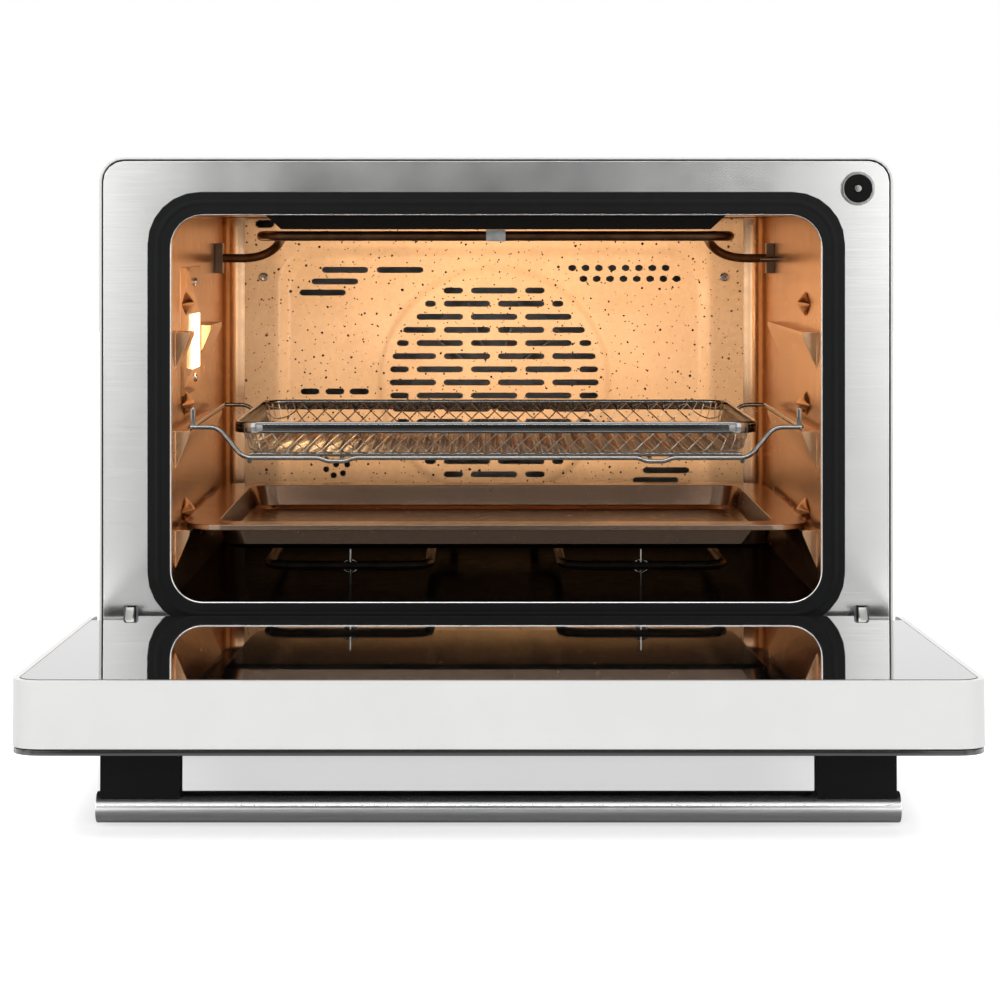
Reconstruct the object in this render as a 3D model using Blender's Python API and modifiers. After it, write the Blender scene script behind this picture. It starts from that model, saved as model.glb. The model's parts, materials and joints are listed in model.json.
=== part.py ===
"""Toaster oven with a drop-down glass door, shown with the door open.

Units are metres, +Z is up and the door opens towards -Y.  The origin lies on the
surface that the feet stand on, at the middle of the whole object's box.  Depths
("d") are counted from the front plane of the steel front frame, positive inwards.
Run with:  blender --background --python part.py
"""

import math

import bmesh
import bpy
from mathutils import Matrix, Vector

# ---------------------------------------------------------------- sizes: body
CLEAR = 0.0003  # gap between pieces that bear on each other
FOOT_H = 0.013
FOOT_R = 0.013
BODY_W = 0.500
BODY_H = 0.3514  # casing, without the feet
BODY_D = 0.450
BODY_R = 0.0155  # upper corners of the casing
SHEET = 0.0015  # casing, rear cover and base
FRAME_INSET = 0.0025  # the steel frame lies this far inside the casing's edge
FRAME_T = 0.0012

# --------------------------------------------------------- sizes: the cavity
SIDE_SPACE = 0.091  # casing width less cavity width: insulation and hinges
END_SPACE = 0.1065  # casing height less cavity height
REAR_SPACE = 0.086  # casing depth less cavity depth: fan chamber and motor
CAVITY_W = BODY_W - SIDE_SPACE
CAVITY_H = BODY_H - END_SPACE
CAVITY_D = BODY_D - REAR_SPACE  # front plane to slotted back panel
CAVITY_FLOOR = 0.0836  # height of the cavity floor above the ground
LINER_T = 0.001
REAR_CORNER_R = 0.015
MOUTH_R = 0.021
GASKET_W = 0.014
GASKET_PROUD = 0.0022
CHAMBER_D = 0.047  # fan chamber behind the back panel

LEDGE_REACH = 0.009
LEDGE_H = 0.025
LEDGE_START = 0.022
LEDGE_END = 0.240
LEDGE_PITCH = 0.0632
LEDGE_FIRST = 0.0432  # top of the lowest ledge above the cavity floor

# ------------------------------------------------------------ sizes: the door
DOOR_W = BODY_W + 0.009  # the door stands proud of the casing on both sides
DOOR_L = 0.304
DOOR_T = 0.039
DOOR_R = 0.016
DOOR_TILT = math.radians(1.5)  # the open door stops this much above level
DOOR_GAP = 0.0025  # closed door to steel frame
DOOR_TAIL = 0.0065  # the door reaches this far behind its hinge axis
GLASS_T = 0.0032
INNER_DEPTH = 0.0105  # hinge axis to the inner glass face
HINGE_Z = 0.0665
CASING_WALL = 0.0035
NOTCH_W = 0.0285  # glass cut away over each hinge
NOTCH_L = 0.0225
REAR_LIP_DROP = 0.0035  # the door casing's rear wall is this much lower

HINGE_X = BODY_W / 2 - 0.020
ARM_T = 0.005
ARM_SLOT_W = 0.009
EAR_T = 0.0016
PIN_R = 0.0025

# ---------------------------------------------------------- sizes: the handle
BAR_R = 0.00835
BAR_L = DOOR_W - 0.080
BAR_DROP = 0.0344  # outer glass face to bar axis
BAR_INSET = 0.047  # door's free edge to bar axis
POST_W = 0.0425
POST_D = 0.0136
POST_X = BAR_L / 2 - 0.0237
POST_GRIP = 0.0050  # the post reaches this far below the bar's top

# --------------------------------------------------- sizes: tray, rack, basket
TRAY_SIDE_GAP = 0.0045  # tray edge to cavity wall
TRAY_W = CAVITY_W - 2 * TRAY_SIDE_GAP
TRAY_L = 0.300
TRAY_H = 0.019
TRAY_FLANGE = 0.019
TRAY_LIP = 0.0036
TRAY_R = 0.025
TRAY_START = 0.020
TRAY_T = 0.0011
RACK_SIDE_GAP = 0.0065  # rack rail to cavity wall
RACK_W = CAVITY_W - 2 * RACK_SIDE_GAP
RACK_L = 0.236
RACK_START = 0.034
RACK_WIRE = 0.003
RACK_DROP = 0.0197
RACK_FLOOR_W = RACK_W - 0.070
RACK_SLOPE = 0.014
RACK_BARS = 9
BASKET_W = RACK_W - 0.058
BASKET_L = 0.240
BASKET_H = 0.0215
BASKET_R = 0.020
BASKET_BAND_H = 0.0075
BASKET_T = 0.0012
BASKET_TAPER = 0.010

# --------------------------------------------- sizes: heating, air and sensing
FAN_Z = 0.1190  # fan axis above the cavity floor
FAN_R = 0.064
FAN_BLADES = 10
RING_R = 0.084
TUBE_R = 0.00325
UPPER_Z = 0.2310  # upper element above the cavity floor
UPPER_X = CAVITY_W / 2 - 0.0395
BRACKET_D = 0.287
BRACKET_RISE = 0.2144  # where the upper element enters, above the cavity floor
LOWER_Z = 0.0130  # lower element above the cavity floor
SHAFT_R = 0.003
MOTOR_R = 0.030
MOTOR_L = 0.022
COOLING_FAN_R = 0.045
LAMP_D = 0.1335
LAMP_Z = 0.1600
LAMP_W = 0.045
LAMP_H = 0.037
LAMP_RIM = 0.006  # lens to the lamp housing's edge
PROBE_D = 0.265
PROBE_Z = 0.2139
SENSOR_X = BODY_W / 2 - 0.0223
SENSOR_R = 0.0107
SENSOR_DROP = 0.0198  # casing top to the sensor's centre
PLUNGER_R = 0.00225
GLAND_REACH = 0.010
GLAND_R = 0.009

# ------------------------------------------------------------- derived places
TOP = FOOT_H + BODY_H
HINGE_D = -(INNER_DEPTH + DOOR_GAP)
DOOR_FRONT = -(DOOR_L - DOOR_TAIL)  # in the door's own frame
DOOR_OUTER = INNER_DEPTH - DOOR_T
DOOR_REACH = -(
    HINGE_D + DOOR_FRONT * math.cos(DOOR_TILT) + DOOR_OUTER * math.sin(DOOR_TILT)
)
FRONT_Y = (DOOR_REACH - (BODY_D + GLAND_REACH)) / 2
CAVITY_TOP = CAVITY_FLOOR + CAVITY_H
WALL_X = CAVITY_W / 2
MID_Z = CAVITY_FLOOR + CAVITY_H / 2
PAN_LOW_D = CAVITY_D - 0.004  # the lower element stops short of the baffle
PAN_BACK = CAVITY_D + LINER_T + 2 * CLEAR + CHAMBER_D
INNER_X = BODY_W / 2 - SHEET - CLEAR
COVER_D = BODY_D - SHEET  # front face of the rear cover
BRACKET_Z = CAVITY_FLOOR + BRACKET_RISE
FAN_HEIGHT = CAVITY_FLOOR + FAN_Z


MATERIALS = {
    "white_casing": ((0.86, 0.86, 0.86), 0.35, 0.0),
    "brushed_steel": ((0.62, 0.62, 0.61), 0.32, 1.0),
    "chrome": ((0.80, 0.80, 0.80), 0.12, 1.0),
    "zinc_sheet": ((0.55, 0.56, 0.57), 0.45, 1.0),
    "cavity_enamel": ((0.80, 0.70, 0.56), 0.28, 0.0),
    "polished_liner": ((0.66, 0.58, 0.48), 0.25, 1.0),
    "dark_enamel": ((0.02, 0.02, 0.02), 0.20, 0.0),
    "gasket_silicone": ((0.012, 0.012, 0.013), 0.55, 0.0),
    "black_glass": ((0.01, 0.01, 0.01), 0.05, 0.0),
    "black_plastic": ((0.02, 0.02, 0.02), 0.40, 0.0),
    "rubber": ((0.03, 0.03, 0.03), 0.70, 0.0),
    "element_steel": ((0.20, 0.17, 0.14), 0.40, 1.0),
    "tray_coating": ((0.17, 0.15, 0.14), 0.30, 0.6),
    "lamp_glass": ((1.00, 0.85, 0.60), 0.05, 0.0),
    "insulation": ((0.80, 0.78, 0.70), 0.90, 0.0),
    "circuit_board": ((0.03, 0.20, 0.08), 0.50, 0.0),
    "brass": ((0.70, 0.52, 0.25), 0.30, 1.0),
}


# ------------------------------------------------------------- small helpers
def start_scene():
    for old in list(bpy.data.objects):
        bpy.data.objects.remove(old, do_unlink=True)
    for name in ("toaster_oven", "cutters"):
        group = bpy.data.collections.new(name)
        bpy.context.scene.collection.children.link(group)


def material(name):
    found = bpy.data.materials.get(name)
    if found:
        return found
    colour, roughness, metallic = MATERIALS[name]
    made = bpy.data.materials.new(name)
    made.use_nodes = True
    shader = made.node_tree.nodes["Principled BSDF"]
    shader.inputs["Base Color"].default_value = (*colour, 1.0)
    shader.inputs["Roughness"].default_value = roughness
    shader.inputs["Metallic"].default_value = metallic
    return made


def place(obj, finish, parent=None):
    """Puts a finished piece in the oven's collection, or in the cutters' with no finish."""
    group = bpy.data.collections["toaster_oven" if finish else "cutters"]
    for old in list(obj.users_collection):
        old.objects.unlink(obj)
    group.objects.link(obj)
    if finish:
        obj.data.materials.clear()
        obj.data.materials.append(material(finish))
    else:
        obj.hide_render = True
        obj.display_type = "WIRE"
    if parent:
        obj.parent = parent
    return obj


def object_of(mesh_maker, name):
    mesh = bpy.data.meshes.new(name)
    bm = bmesh.new()
    mesh_maker(bm)
    bm.to_mesh(mesh)
    bm.free()
    return bpy.data.objects.new(name, mesh)


def box(name, low, high, finish=None, parent=None):
    low, high = Vector(low), Vector(high)
    size = high - low
    shape = Matrix.Diagonal((*size, 1.0))
    obj = object_of(lambda bm: bmesh.ops.create_cube(bm, size=1.0, matrix=shape), name)
    obj.location = (low + high) / 2
    return place(obj, finish, parent)


TURN = {
    "X": Matrix.Rotation(math.pi / 2, 4, "Y"),
    "Y": Matrix.Rotation(-math.pi / 2, 4, "X"),
    "Z": Matrix.Identity(4),
}


def rod(name, start, length, radius, along, finish=None, parent=None, end=None, sides=24):
    """A round bar or cone from start, running length along one axis."""
    axis = TURN[along]

    def make(bm):
        bmesh.ops.create_cone(
            bm,
            cap_ends=True,
            segments=sides,
            radius1=radius,
            radius2=radius if end is None else end,
            depth=length,
            matrix=axis @ Matrix.Translation((0, 0, length / 2)),
        )

    obj = object_of(make, name)
    obj.location = start
    obj.data.shade_smooth()
    obj.data.set_sharp_from_angle(angle=math.radians(40))
    return place(obj, finish, parent)


def arc(cx, cy, radius, start, end, steps):
    """Points of an arc, angles in degrees, both ends included."""
    angles = [math.radians(start + (end - start) * i / steps) for i in range(steps + 1)]
    return [(cx + radius * math.cos(a), cy + radius * math.sin(a)) for a in angles]


def rounded(cx, cy, half_w, half_h, radius, steps=4):
    """A rectangle with round corners, counter-clockwise; radius may be one or four
    values, from the upper right corner round to the lower right."""
    radii = [radius] * 4 if isinstance(radius, float) else radius
    points = []
    for i, (sx, sy) in enumerate(((1, 1), (-1, 1), (-1, -1), (1, -1))):
        r = radii[i]
        x, y = cx + sx * (half_w - r), cy + sy * (half_h - r)
        if r:
            points += arc(x, y, r, 90 * i, 90 * i + 90, steps)
        else:
            points.append((x, y))
    return points


PLANE = {
    "XY": (0.0, 0.0, 0.0),
    "XZ": (math.pi / 2, 0.0, 0.0),
    "YZ": (math.pi / 2, 0.0, math.pi / 2),
}


def flat(name, outlines, thickness, centre, plane, finish=None, parent=None):
    """A flat outline with its holes, extruded thickness about the centre."""
    curve = bpy.data.curves.new(name, "CURVE")
    curve.dimensions = "2D"
    curve.fill_mode = "BOTH"
    curve.extrude = thickness / 2
    for points in outlines:
        spline = curve.splines.new("POLY")
        spline.points.add(len(points) - 1)
        for point, (x, y) in zip(spline.points, points):
            point.co = (x, y, 0.0, 1.0)
        spline.use_cyclic_u = True
    obj = bpy.data.objects.new(name, curve)
    obj.location = centre
    obj.rotation_euler = PLANE[plane]
    return place(obj, finish, parent)


def tube(name, points, radius, finish=None, parent=None, resolution=2, cyclic=False):
    curve = bpy.data.curves.new(name, "CURVE")
    curve.dimensions = "3D"
    curve.bevel_depth = radius
    curve.bevel_resolution = resolution
    curve.use_fill_caps = not cyclic
    spline = curve.splines.new("POLY")
    spline.points.add(len(points) - 1)
    for point, co in zip(spline.points, points):
        point.co = (*co, 1.0)
    spline.use_cyclic_u = cyclic
    return place(bpy.data.objects.new(name, curve), finish, parent)


def as_mesh(obj):
    """The same piece as a welded mesh, so that it can be cut or joined."""
    if obj.type == "MESH":
        return obj
    bpy.context.view_layer.update()
    mesh = bpy.data.meshes.new_from_object(
        obj.evaluated_get(bpy.context.evaluated_depsgraph_get())
    )
    bm = bmesh.new()
    bm.from_mesh(mesh)
    bmesh.ops.remove_doubles(bm, verts=bm.verts, dist=1e-6)
    bm.to_mesh(mesh)
    bm.free()
    name, group = obj.name, obj.users_collection[0]
    made = bpy.data.objects.new(name + "_mesh", mesh)
    made.parent = obj.parent
    made.matrix_basis = obj.matrix_basis
    made.hide_render, made.display_type = obj.hide_render, obj.display_type
    group.objects.link(made)
    bpy.data.objects.remove(obj, do_unlink=True)
    made.name = name
    return made


def combine(target, others, operation):
    target = as_mesh(target)
    for other in others:
        other = as_mesh(other)
        if other.users_collection[0].name != "cutters":
            place(other, None)
        step = target.modifiers.new(operation.lower(), "BOOLEAN")
        step.operation = operation
        step.solver = "EXACT"
        step.object = other
    return target


def cut(target, *cutters):
    return combine(target, cutters, "DIFFERENCE")


def unite(target, *others):
    return combine(target, others, "UNION")


def pan(name, rings, centre, thickness, finish, parent=None):
    """An open dish: rounded rectangles (half width, half length, radius, height)
    joined from the rim down, the last one closed, with a wall outside them."""
    bm = bmesh.new()
    loops = []
    for half_w, half_l, radius, height in rings:
        verts = [bm.verts.new((x, y, height)) for x, y in rounded(0, 0, half_w, half_l, radius)]
        loops.append([bm.edges.new((a, b)) for a, b in zip(verts, verts[1:] + verts[:1])])
    for above, below in zip(loops, loops[1:]):
        bmesh.ops.bridge_loops(bm, edges=above + below)
    bmesh.ops.contextual_create(bm, geom=loops[-1])
    bmesh.ops.recalc_face_normals(bm, faces=bm.faces)
    mesh = bpy.data.meshes.new(name)
    bm.to_mesh(mesh)
    bm.free()
    obj = bpy.data.objects.new(name, mesh)
    obj.location = centre
    wall = obj.modifiers.new("wall", "SOLIDIFY")
    wall.thickness = thickness
    wall.offset = 1.0
    wall.use_even_offset = True
    return place(obj, finish, parent)


def at(d):
    """The Y of a depth behind the front plane."""
    return FRONT_Y + d


# ------------------------------------------------------------------ the body
def casing_outline(inset):
    """Casing edge seen from the front, this far inside the outer face, open below."""
    half = BODY_W / 2 - inset
    r = BODY_R - inset
    top = TOP - inset
    right = arc(half - r, top - r, r, 0, 90, 5)
    left = arc(r - half, top - r, r, 90, 180, 5)
    return [(half, FOOT_H)] + right + left + [(-half, FOOT_H)]


def make_casing():
    length = COVER_D - CLEAR + 0.0006
    outline = casing_outline(0.0) + casing_outline(SHEET)[::-1]
    flat("outer_cabinet", [outline], length, (0, at(length / 2 - 0.0006), 0), "XZ", "white_casing")

    rear = flat(
        "rear_cover",
        [rounded(0, FOOT_H + BODY_H / 2, BODY_W / 2, BODY_H / 2, [BODY_R, BODY_R, 0.003, 0.003])],
        SHEET,
        (0, at(COVER_D + SHEET / 2), 0),
        "XZ",
        "zinc_sheet",
    )
    vents = [
        box("vent_cut", (x, at(COVER_D - 0.01), z), (x + 0.060, at(BODY_D + 0.01), z + 0.004))
        for x in (-0.180, -0.070, 0.040)
        for z in (FOOT_H + BODY_H - 0.050 - 0.012 * i for i in range(4))
    ]
    hole = rod("gland_hole", (0.170, at(COVER_D - 0.01), 0.050), 0.03, GLAND_R * 0.78, "Y")
    cut(rear, *vents, hole)

    base = box(
        "base_plate",
        (-INNER_X, at(FRAME_T + CLEAR), FOOT_H),
        (INNER_X, at(COVER_D - CLEAR), FOOT_H + SHEET),
        "zinc_sheet",
    )
    cut(base, *[
        box("base_vent", (-0.150, at(d), 0.0), (-0.050, at(d + 0.005), 0.03))
        for d in (0.150, 0.165, 0.180, 0.195)
    ])
    for side, x in (("left", -0.215), ("right", 0.215)):
        for end, d in (("front", 0.032), ("rear", BODY_D - 0.040)):
            rod(
                f"foot_{end}_{side}", (x, at(d), 0), FOOT_H - CLEAR,
                FOOT_R * 0.85, "Z", "rubber", end=FOOT_R, sides=20,
            )


def make_front_frame():
    mouth = rounded(0, MID_Z, WALL_X + 0.0007, CAVITY_H / 2 + 0.0006, MOUTH_R, 5)
    low, high = FOOT_H + FRAME_INSET, TOP - FRAME_INSET
    r = BODY_R - FRAME_INSET
    outer = rounded(0, (low + high) / 2, BODY_W / 2 - FRAME_INSET, (high - low) / 2, [r, r, 0.002, 0.002])
    slots = [
        rounded(side * HINGE_X, HINGE_Z, ARM_SLOT_W / 2, 0.0155, 0.001, 1) for side in (-1, 1)
    ]
    sensor = arc(SENSOR_X, TOP - SENSOR_DROP, SENSOR_R - 0.0014, 0, 345, 23)
    flat(
        "front_frame", [outer, mouth, *slots, sensor], FRAME_T, (0, at(FRAME_T / 2), 0), "XZ",
        "brushed_steel",
    )

    inner = rounded(0, MID_Z, WALL_X + 0.0010, CAVITY_H / 2 + 0.0, MOUTH_R, 6)
    outside = rounded(
        0, MID_Z, WALL_X + 0.0010 + GASKET_W, CAVITY_H / 2 + GASKET_W, MOUTH_R + 0.012, 6
    )
    thick = GASKET_PROUD - CLEAR
    flat("door_gasket", [outside, inner], thick, (0, at(-CLEAR - thick / 2), 0), "XZ", "gasket_silicone")


# ---------------------------------------------------------------- the cavity
def ledge(side, top, start=LEDGE_START, end=LEDGE_END):
    """A pressed runner: flat on top, sloping back into the wall below."""
    x = side * (WALL_X + LINER_T / 2)
    tip = side * (WALL_X - LEDGE_REACH)
    profile = [(x, top), (tip, top), (tip, top - 0.003), (x, top - LEDGE_H)]
    if side < 0:
        profile.reverse()
    return flat("ledge", [profile], end - start, (0, at((start + end) / 2), 0), "XZ")


def ledge_tops():
    return [CAVITY_FLOOR + LEDGE_FIRST + LEDGE_PITCH * i for i in range(3)]


def make_side_walls():
    r, out = REAR_CORNER_R, REAR_CORNER_R + LINER_T
    low, high = CAVITY_FLOOR + CLEAR, CAVITY_TOP - CLEAR
    for name, side in (("left", -1), ("right", 1)):
        x, start, end = WALL_X, at(FRAME_T + CLEAR), at(CAVITY_D - LINER_T)
        inner = [(x, start)] + arc(x - r, end - r, r, 0, 90, 4)
        outer = arc(x - r, end - r, out, 90, 0, 4) + [(x + LINER_T, start)]
        outline = [(side * px, py) for px, py in inner + outer]
        if side > 0:
            outline.reverse()
        wall = flat(
            f"cavity_{name}_wall", [outline], high - low, (0, 0, (low + high) / 2), "XY", "polished_liner"
        )
        low_ledge, middle_ledge, high_ledge = ledge_tops()
        ledges = [ledge(side, low_ledge), ledge(side, middle_ledge)]
        if side < 0:  # the lamp interrupts the upper runner
            bay = LAMP_W / 2 + LAMP_RIM
            ledges += [
                ledge(side, high_ledge, end=LAMP_D - bay), ledge(side, high_ledge, start=LAMP_D + bay),
            ]
        else:
            ledges.append(ledge(side, high_ledge))
        unite(wall, *ledges)
        wall = bpy.data.objects[f"cavity_{name}_wall"]
        holes = [
            rod(
                "bracket_hole", (side * x - 0.01, at(BRACKET_D), BRACKET_Z), 0.02, TUBE_R + CLEAR, "X",
                sides=12,
            )
        ]
        if side < 0:
            holes.append(box(
                "lamp_window",
                (-x - 0.01, at(LAMP_D - LAMP_W / 2), CAVITY_FLOOR + LAMP_Z - LAMP_H / 2),
                (-x + 0.0005, at(LAMP_D + LAMP_W / 2), CAVITY_FLOOR + LAMP_Z + LAMP_H / 2),
            ))
        else:
            holes.append(
                rod(
                    "probe_hole", (x - 0.01, at(PROBE_D), CAVITY_FLOOR + PROBE_Z), 0.02, 0.0023, "X",
                    sides=12,
                ),
            )
        cut(wall, *holes)


def make_cavity_plates():
    half = WALL_X + LINER_T
    start, end = at(FRAME_T + CLEAR), at(CAVITY_D + LINER_T)
    box("cavity_floor", (-half, start, CAVITY_FLOOR - LINER_T), (half, end, CAVITY_FLOOR), "dark_enamel")
    box("cavity_ceiling", (-half, start, CAVITY_TOP), (half, end, CAVITY_TOP + LINER_T), "polished_liner")
    box(
        "insulation_blanket",
        (-half + 0.004, start + 0.012, CAVITY_TOP + LINER_T + CLEAR),
        (half - 0.004, end - 0.010, CAVITY_TOP + 0.014),
        "insulation",
    )


def slot(x, z, length, height=0.0046):
    """A slot with round ends, from its left end."""
    r = height / 2
    return arc(x + length - r, z, r, -90, 90, 3) + arc(x + r, z, r, 90, 270, 3)


def fan_slots():
    """Rows of slots that fill a circle in front of the fan, in brick pattern."""
    pitch_x, pitch_z, length, height, reach = 0.0413, 0.0100, 0.03575, 0.0046, 0.080
    found = []
    for row in range(-7, 8):
        z = FAN_HEIGHT + row * pitch_z
        edge = math.sqrt(reach**2 - (row * pitch_z) ** 2)
        shift = 0.0 if row % 2 else pitch_x / 2
        for column in range(-3, 4):
            middle = column * pitch_x + shift
            low, high = max(middle - length / 2, -edge), min(middle + length / 2, edge)
            if high - low > 0.007:
                found.append(slot(low, z, high - low, height))
    return found


def corner_slots():
    """The groups of small vents outside the fan's circle."""
    z = CAVITY_FLOOR
    long_slots = [
        (-0.1314, 0.2047, 0.0355), (-0.0896, 0.2047, 0.0358), (-0.1393, 0.1959, 0.0358),
        (-0.1486, 0.1874, 0.0358), (-0.1477, 0.1120, 0.0147), (-0.1288, 0.1120, 0.0148),
        (-0.1103, 0.1120, 0.0151), (0.1132, 0.0519, 0.0358), (0.1056, 0.0444, 0.0350),
    ]
    found = [slot(x, z + up, length) for x, up, length in long_slots]
    for x, up in ((0.0564, 0.2062), (0.0649, 0.1979)):
        found += [slot(x + 0.01017 * i, z + up, 0.0064, 0.0048) for i in range(8)]
    middle = (-0.1204, z + 0.0563)
    dots = [middle] + [
        (middle[0] + 0.0084 * math.cos(a), middle[1] + 0.0084 * math.sin(a))
        for a in (2 * math.pi * i / 7 for i in range(7))
    ]
    return found + [arc(x, y, 0.0024, 0, 315, 7) for x, y in dots]


def make_back_panel():
    low, high = CAVITY_FLOOR + CLEAR, CAVITY_TOP - CLEAR
    plate = rounded(0, (low + high) / 2, WALL_X + LINER_T, (high - low) / 2, 0.0)
    flue = slot(-0.1820, CAVITY_FLOOR + 0.2397, 0.0150, 0.0060)
    flat(
        "fan_baffle", [plate, *fan_slots(), *corner_slots(), flue], LINER_T,
        (0, at(CAVITY_D + CLEAR + LINER_T / 2), 0), "XZ", "cavity_enamel",
    )


def make_fan_chamber():
    front = CAVITY_D + LINER_T + 2 * CLEAR
    half, low, high = WALL_X + LINER_T, CAVITY_FLOOR + CLEAR, CAVITY_TOP - CLEAR
    chamber = box("fan_chamber", (-half, at(front), low), (half, at(PAN_BACK), high), "zinc_sheet")
    inside = box(
        "chamber_space", (-half + LINER_T, at(front - 0.01), low + LINER_T),
        (half - LINER_T, at(PAN_BACK - LINER_T), high - LINER_T),
    )
    holes = [
        rod("shaft_hole", (0, at(PAN_BACK - 0.01), FAN_HEIGHT), 0.02, SHAFT_R + 0.0025, "Y"),
    ] + [
        rod(
            "terminal_hole", (x, at(PAN_BACK - 0.01), FAN_HEIGHT - RING_R), 0.02, TUBE_R + CLEAR, "Y",
            sides=12,
        )
        for x in (-0.012, 0.012)
    ]
    cut(chamber, inside, *holes)

    ring_d = CAVITY_D + 0.019
    ring = arc(0, 0, RING_R, -82, 262, 40)
    path = [(x, at(ring_d), FAN_HEIGHT + z) for x, z in ring]
    tail = at(PAN_BACK + 0.006)
    end_z = FAN_HEIGHT - RING_R
    path = [(0.012, tail, end_z), (0.012, at(ring_d + 0.004), end_z)] + path
    path += [(-0.012, at(ring_d + 0.004), end_z), (-0.012, tail, end_z)]
    tube("ring_element", path, TUBE_R, "element_steel")


def blades(name, count, inner, outer, low_d, high_d, lean, thickness):
    """Fan blades as thin boxes that stand round the fan's axis."""
    made = []
    for i in range(count):
        angle = 2 * math.pi * i / count
        blade = box(
            name, (
                inner, -thickness / 2, -(high_d - low_d) / 2
            ), (outer, thickness / 2, (high_d - low_d) / 2)
        )
        turn = Matrix.Rotation(angle, 4, "Z") @ Matrix.Rotation(lean, 4, "X")
        middle = Matrix.Translation(((inner + outer) / 2, 0, 0))
        face = Matrix.Translation((0, at((low_d + high_d) / 2), FAN_HEIGHT)) @ TURN["Y"]
        blade.matrix_basis = face @ turn @ middle
        made.append(blade)
    return made


def make_fan():
    axis = bpy.data.objects.new("fan_axis", None)
    axis.location = (0, at(CAVITY_D), FAN_HEIGHT)
    bpy.data.collections["toaster_oven"].objects.link(axis)
    disc_d = PAN_BACK - 0.012
    wheel = rod("fan_impeller", (0, at(disc_d), FAN_HEIGHT), 0.0012, FAN_R, "Y", "zinc_sheet", sides=32)
    hub = rod("fan_hub", (0, at(disc_d - 0.010), FAN_HEIGHT), 0.0105, 0.008, "Y", sides=16)
    fins = blades(
        "fan_blade", FAN_BLADES, 0.026, FAN_R - 0.001, disc_d - 0.018, disc_d + 0.0006, 0.0, 0.0012
    )
    bore = rod("fan_bore", (0, at(disc_d - 0.05), FAN_HEIGHT), 0.1, SHAFT_R + CLEAR, "Y", sides=16)
    wheel = unite(wheel, hub, *fins)
    cut(wheel, bore)

    shaft_front = disc_d - 0.014
    motor_front = PAN_BACK + 0.0095
    rod(
        "fan_shaft", (0, at(shaft_front), FAN_HEIGHT), motor_front + 0.012 - shaft_front, SHAFT_R, "Y",
        "zinc_sheet", sides=16,
    )
    nut = rod(
        "fan_nut", (0, at(disc_d - 0.0103 - 0.0035), FAN_HEIGHT), 0.0035, 0.0055, "Y", "brass", sides=6
    )
    cut(nut, rod("nut_bore", (0, at(disc_d - 0.03), FAN_HEIGHT), 0.04, SHAFT_R + CLEAR, "Y", sides=16))

    cool_d = PAN_BACK + 0.0030
    cooler = rod("cooling_fan", (0, at(cool_d), FAN_HEIGHT), 0.0045, 0.009, "Y", "zinc_sheet", sides=16)
    cooler = unite(
        cooler, *blades(
            "cooling_blade", 6, 0.006, COOLING_FAN_R, cool_d + 0.0015, cool_d + 0.0040, 0.5, 0.0060
        )
    )
    cut(cooler, rod("cool_bore", (0, at(cool_d - 0.02), FAN_HEIGHT), 0.04, SHAFT_R + CLEAR, "Y", sides=16))

    motor = rod(
        "fan_motor", (0, at(motor_front), FAN_HEIGHT), MOTOR_L, MOTOR_R, "Y", "zinc_sheet", sides=32
    )
    cut(
        motor,
        rod(
            "motor_bore", (0, at(motor_front - 0.01), FAN_HEIGHT), 0.01 + 0.0125, SHAFT_R + CLEAR, "Y",
            sides=16,
        ),
    )
    # A strap from the chamber's back, over the cooling fan, holds the motor at its rear.
    reach, half_h = COOLING_FAN_R + 0.008, 0.012
    back = motor_front + MOTOR_L + CLEAR
    strap = box(
        "motor_bracket", (-reach, at(back), FAN_HEIGHT - half_h), (
            reach, at(back + SHEET), FAN_HEIGHT + half_h
        ),
        "zinc_sheet",
    )
    unite(strap, *[
        box(
            "bracket_leg", (x - SHEET / 2, at(PAN_BACK + CLEAR), FAN_HEIGHT - half_h),
            (x + SHEET / 2, at(back + SHEET * 0.9), FAN_HEIGHT + half_h),
        )
        for x in (-reach, reach)
    ])


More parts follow.
